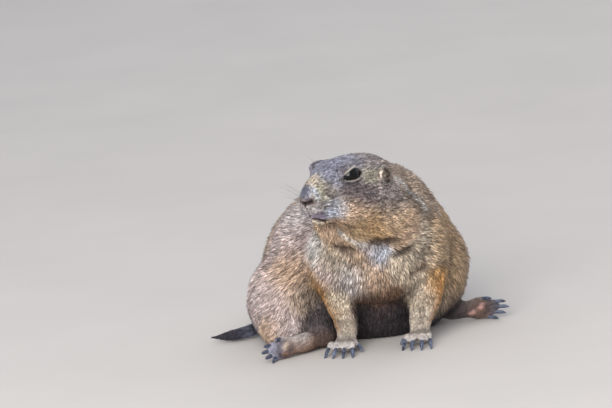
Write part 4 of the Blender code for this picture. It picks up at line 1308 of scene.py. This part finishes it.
class Whiskers:
    """The whiskers and brow hairs: thin bent tapering rods."""

    rows: Tuple[Bristles, ...] = (
        Bristles((9.5, -47, -3.2), (13.5, -39.5, -3.8), 5, (0.5, 0.9, 0.10), (0.95, -0.10, 0.42), 24),
        Bristles((9.0, -47, -5.6), (13.5, -39.0, -6.4), 5, (0.5, 0.9, -0.12), (0.98, -0.05, 0.18), 26),
        Bristles((9.0, -46, -8.0), (12.5, -39.0, -9.0), 4, (0.5, 0.85, -0.35), (0.95, 0.10, -0.10), 20),
        Bristles((11.5, -31, 16.5), (13.5, -27.0, 18.0), 3, (0.25, 0.75, 0.6), (0.7, -0.1, 0.6), 9),
    )
    thick: float = 0.085 * MM
    taper: float = 0.8
    sunk: float = 0.4 * MM
    sag: float = 0.16
    fall: Triple = (0, 0.25, -1.0)
    steps: int = 8

    def __init__(self, skin: bpy.types.Object) -> None:
        """Keeps the skin that they grow from."""
        self.tree = tree_of(skin)
        self.rng = np.random.default_rng(SEED + 1)

    def hair(self, row: Bristles, share: float, sign: float) -> Tuple[Array, Array]:
        """Returns one hair, which runs along its way and sags by the square of its length.

        Args:
            row: the row that it stands in.
            share: how far along the row it stands.
            sign: 1 on the left side and -1 on the right.

        Returns:
            Its vertices and faces.
        """
        spot = np.array(row.start) * (1 - share) + np.array(row.end) * share
        root, normal, _, _ = self.tree.find_nearest(Vector(POSE.head(spot, sign)))
        way = np.array(row.way if sign > 0 else row.far_way) + self.rng.normal(0, 0.08, 3)
        way = unit(POSE.way(way, sign))
        length = row.length * self.rng.uniform(0.75, 1.1) * MM
        u = np.linspace(0, 1, self.steps)[:, None]
        sag = unit(np.array(self.fall)) * length * self.sag * self.rng.uniform(0.3, 1.2)
        path = np.array(root) - np.array(normal) * self.sunk + way * length * u + sag * u ** 2
        return swept(path, self.thick * (1 - self.taper * u[:, 0]), np.cross(way, (0.1, 0.2, 1)), 4)

    def build(self) -> List[bpy.types.Object]:
        """Returns one piece a side."""
        made = []
        for side, sign in SIDES.items():
            parts, faces, base = [], [], 0
            for row in self.rows:
                for k in range(row.count):
                    points, skinned = self.hair(row, (k + 0.5) / row.count, sign)
                    parts.append(points)
                    faces.append(skinned + base)
                    base += len(points)
            piece = object_of("whiskers_" + side, np.concatenate(parts), np.concatenate(faces))
            closed(piece)
            piece.data.materials.append(HornFinish("whisker_hair", (70, 64, 64), (150, 146, 144)).material())
            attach(piece, "root")
            made.append(piece)
        return made


def closed(piece: bpy.types.Object) -> None:
    """Merges points that coincide, closes open ends and turns all faces outwards."""
    bm = bmesh.new()
    bm.from_mesh(piece.data)
    bmesh.ops.remove_doubles(bm, verts=bm.verts, dist=2e-5)
    bmesh.ops.holes_fill(bm, edges=[e for e in bm.edges if e.is_boundary], sides=0)
    bmesh.ops.recalc_face_normals(bm, faces=bm.faces)
    bm.to_mesh(piece.data)
    bm.free()


@dataclass(frozen=True)
class Lamp:
    """A square lamp turned to the animal: place and size in metres, power in watts."""

    name: str
    place: Triple
    size: float
    power: float


class Stage:
    """The pale floor, the soft light and the camera."""

    lamps: Tuple[Lamp, ...] = (Lamp("key", (-0.5, -1.9, 1.0), 1.5, 68.0),
                               Lamp("rim", (0.9, 1.4, 1.5), 1.0, 7.0))
    lamp_colour: Triple = (1.0, 0.97, 0.93)
    lit: Triple = (0, 0, 0.05)
    sky: Triple = (0.86, 0.90, 1.0)
    sky_strength: float = 0.85
    floor_tones: Tuple[Triple, Triple] = ((0.46, 0.435, 0.41), (0.52, 0.49, 0.46))
    floor_size: float = 6.0
    distance: float = 3.3
    elevation: float = 12.0
    roll: float = 5.0
    pixels_per_mm: float = 1.55
    frame_width: int = 612
    sensor: float = 36.0
    aim: Triple = (-40.5, 50.0, 91.0)

    def floor(self) -> None:
        """Lays a wide pale floor with faint clouds of tone."""
        half = self.floor_size / 2
        places = np.array([(-half, -half, 0), (half, -half, 0), (half, half, 0), (-half, half, 0)])
        piece = object_of("floor", places, np.array([[0, 1, 2, 3]]), smooth=False)
        shader = Shader("floor_pale", 0.9, 0.2)
        shader.blend(*self.floor_tones, shader.noise(9.0))
        piece.data.materials.append(shader.material)

    def light(self) -> None:
        """Sets an even pale sky, a wide lamp in front to the left and a weak one behind."""
        world = bpy.data.worlds.new("sky")
        world.use_nodes = True
        background = world.node_tree.nodes["Background"]
        background.inputs["Color"].default_value = (*self.sky, 1)
        background.inputs["Strength"].default_value = self.sky_strength
        bpy.context.scene.world = world
        bpy.context.scene.view_settings.view_transform = "Standard"
        for lamp in self.lamps:
            light = bpy.data.lights.new(lamp.name, "AREA")
            light.size = lamp.size
            light.energy = lamp.power
            light.color = self.lamp_colour
            holder = bpy.data.objects.new(lamp.name, light)
            holder.location = lamp.place
            way = np.array(lamp.place) - np.array(self.lit)
            holder.rotation_euler = (math.acos(way[2] / np.linalg.norm(way)), 0,
                                     math.atan2(way[0], -way[1]))
            bpy.context.scene.collection.objects.link(holder)

    def camera(self) -> None:
        """Sets the camera in front, a little above the animal and rolled by a few degrees."""
        tilt, roll = math.radians(self.elevation), math.radians(self.roll)
        view = bpy.data.cameras.new("view")
        view.sensor_width = self.sensor
        view.lens = self.sensor * self.distance / (self.frame_width / self.pixels_per_mm * MM)
        view.clip_end = 50.0
        holder = bpy.data.objects.new("view", view)
        back = np.array([0, -math.cos(tilt), math.sin(tilt)])
        right = np.array([1.0, 0, 0])
        up = np.cross(back, right)
        right, up = (right * math.cos(roll) - up * math.sin(roll),
                     up * math.cos(roll) + right * math.sin(roll))
        place = POSE.body(self.aim) + back * self.distance
        matrix = np.eye(4)
        matrix[:3, 0], matrix[:3, 1], matrix[:3, 2], matrix[:3, 3] = right, up, back, place
        holder.matrix_world = Matrix(matrix.tolist())
        bpy.context.scene.collection.objects.link(holder)
        bpy.context.scene.camera = holder


def main() -> None:
    """Builds everything in order and reports each piece."""
    logging.basicConfig(level=logging.INFO, format="%(name)s: %(message)s")
    stage = Stage()
    stage.floor()
    stage.light()
    stage.camera()
    markings = Markings()
    skin = Skin(markings).build()
    skin.data.materials.append(FurFinish("skin_fur", relief=0.0003, streaks=(0.55, 1.4)).material())
    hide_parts(*FLESH)
    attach(skin, "root")
    LOG.info("skin: %d faces", len(skin.data.polygons))
    fur = FurFinish("coat_hair", 0.6).material()
    face = FurFinish("face_hair", 0.6, streaks=(0.3, 1.75)).material()
    for piece in Coat(markings, skin).build():
        kind = Part(piece.name.split("_")[1])
        piece.data.materials.append(face if kind is Part.HEAD else fur)
        LOG.info("%s: %d faces", piece.name, len(piece.data.polygons))
    balls = Eyes().build()
    for piece in balls + Lids(skin, balls).build() + Whiskers(skin).build():
        LOG.info("%s: %d faces", piece.name, len(piece.data.polygons))
    # The claws' horn carries painted bluish sheen in its light clouds.
    horn = HornFinish().material()
    for name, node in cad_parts.items():
        if "claw" in name:
            for k in range(len(node.data.materials)):
                node.data.materials[k] = horn


if __name__ == "__main__":
    main()
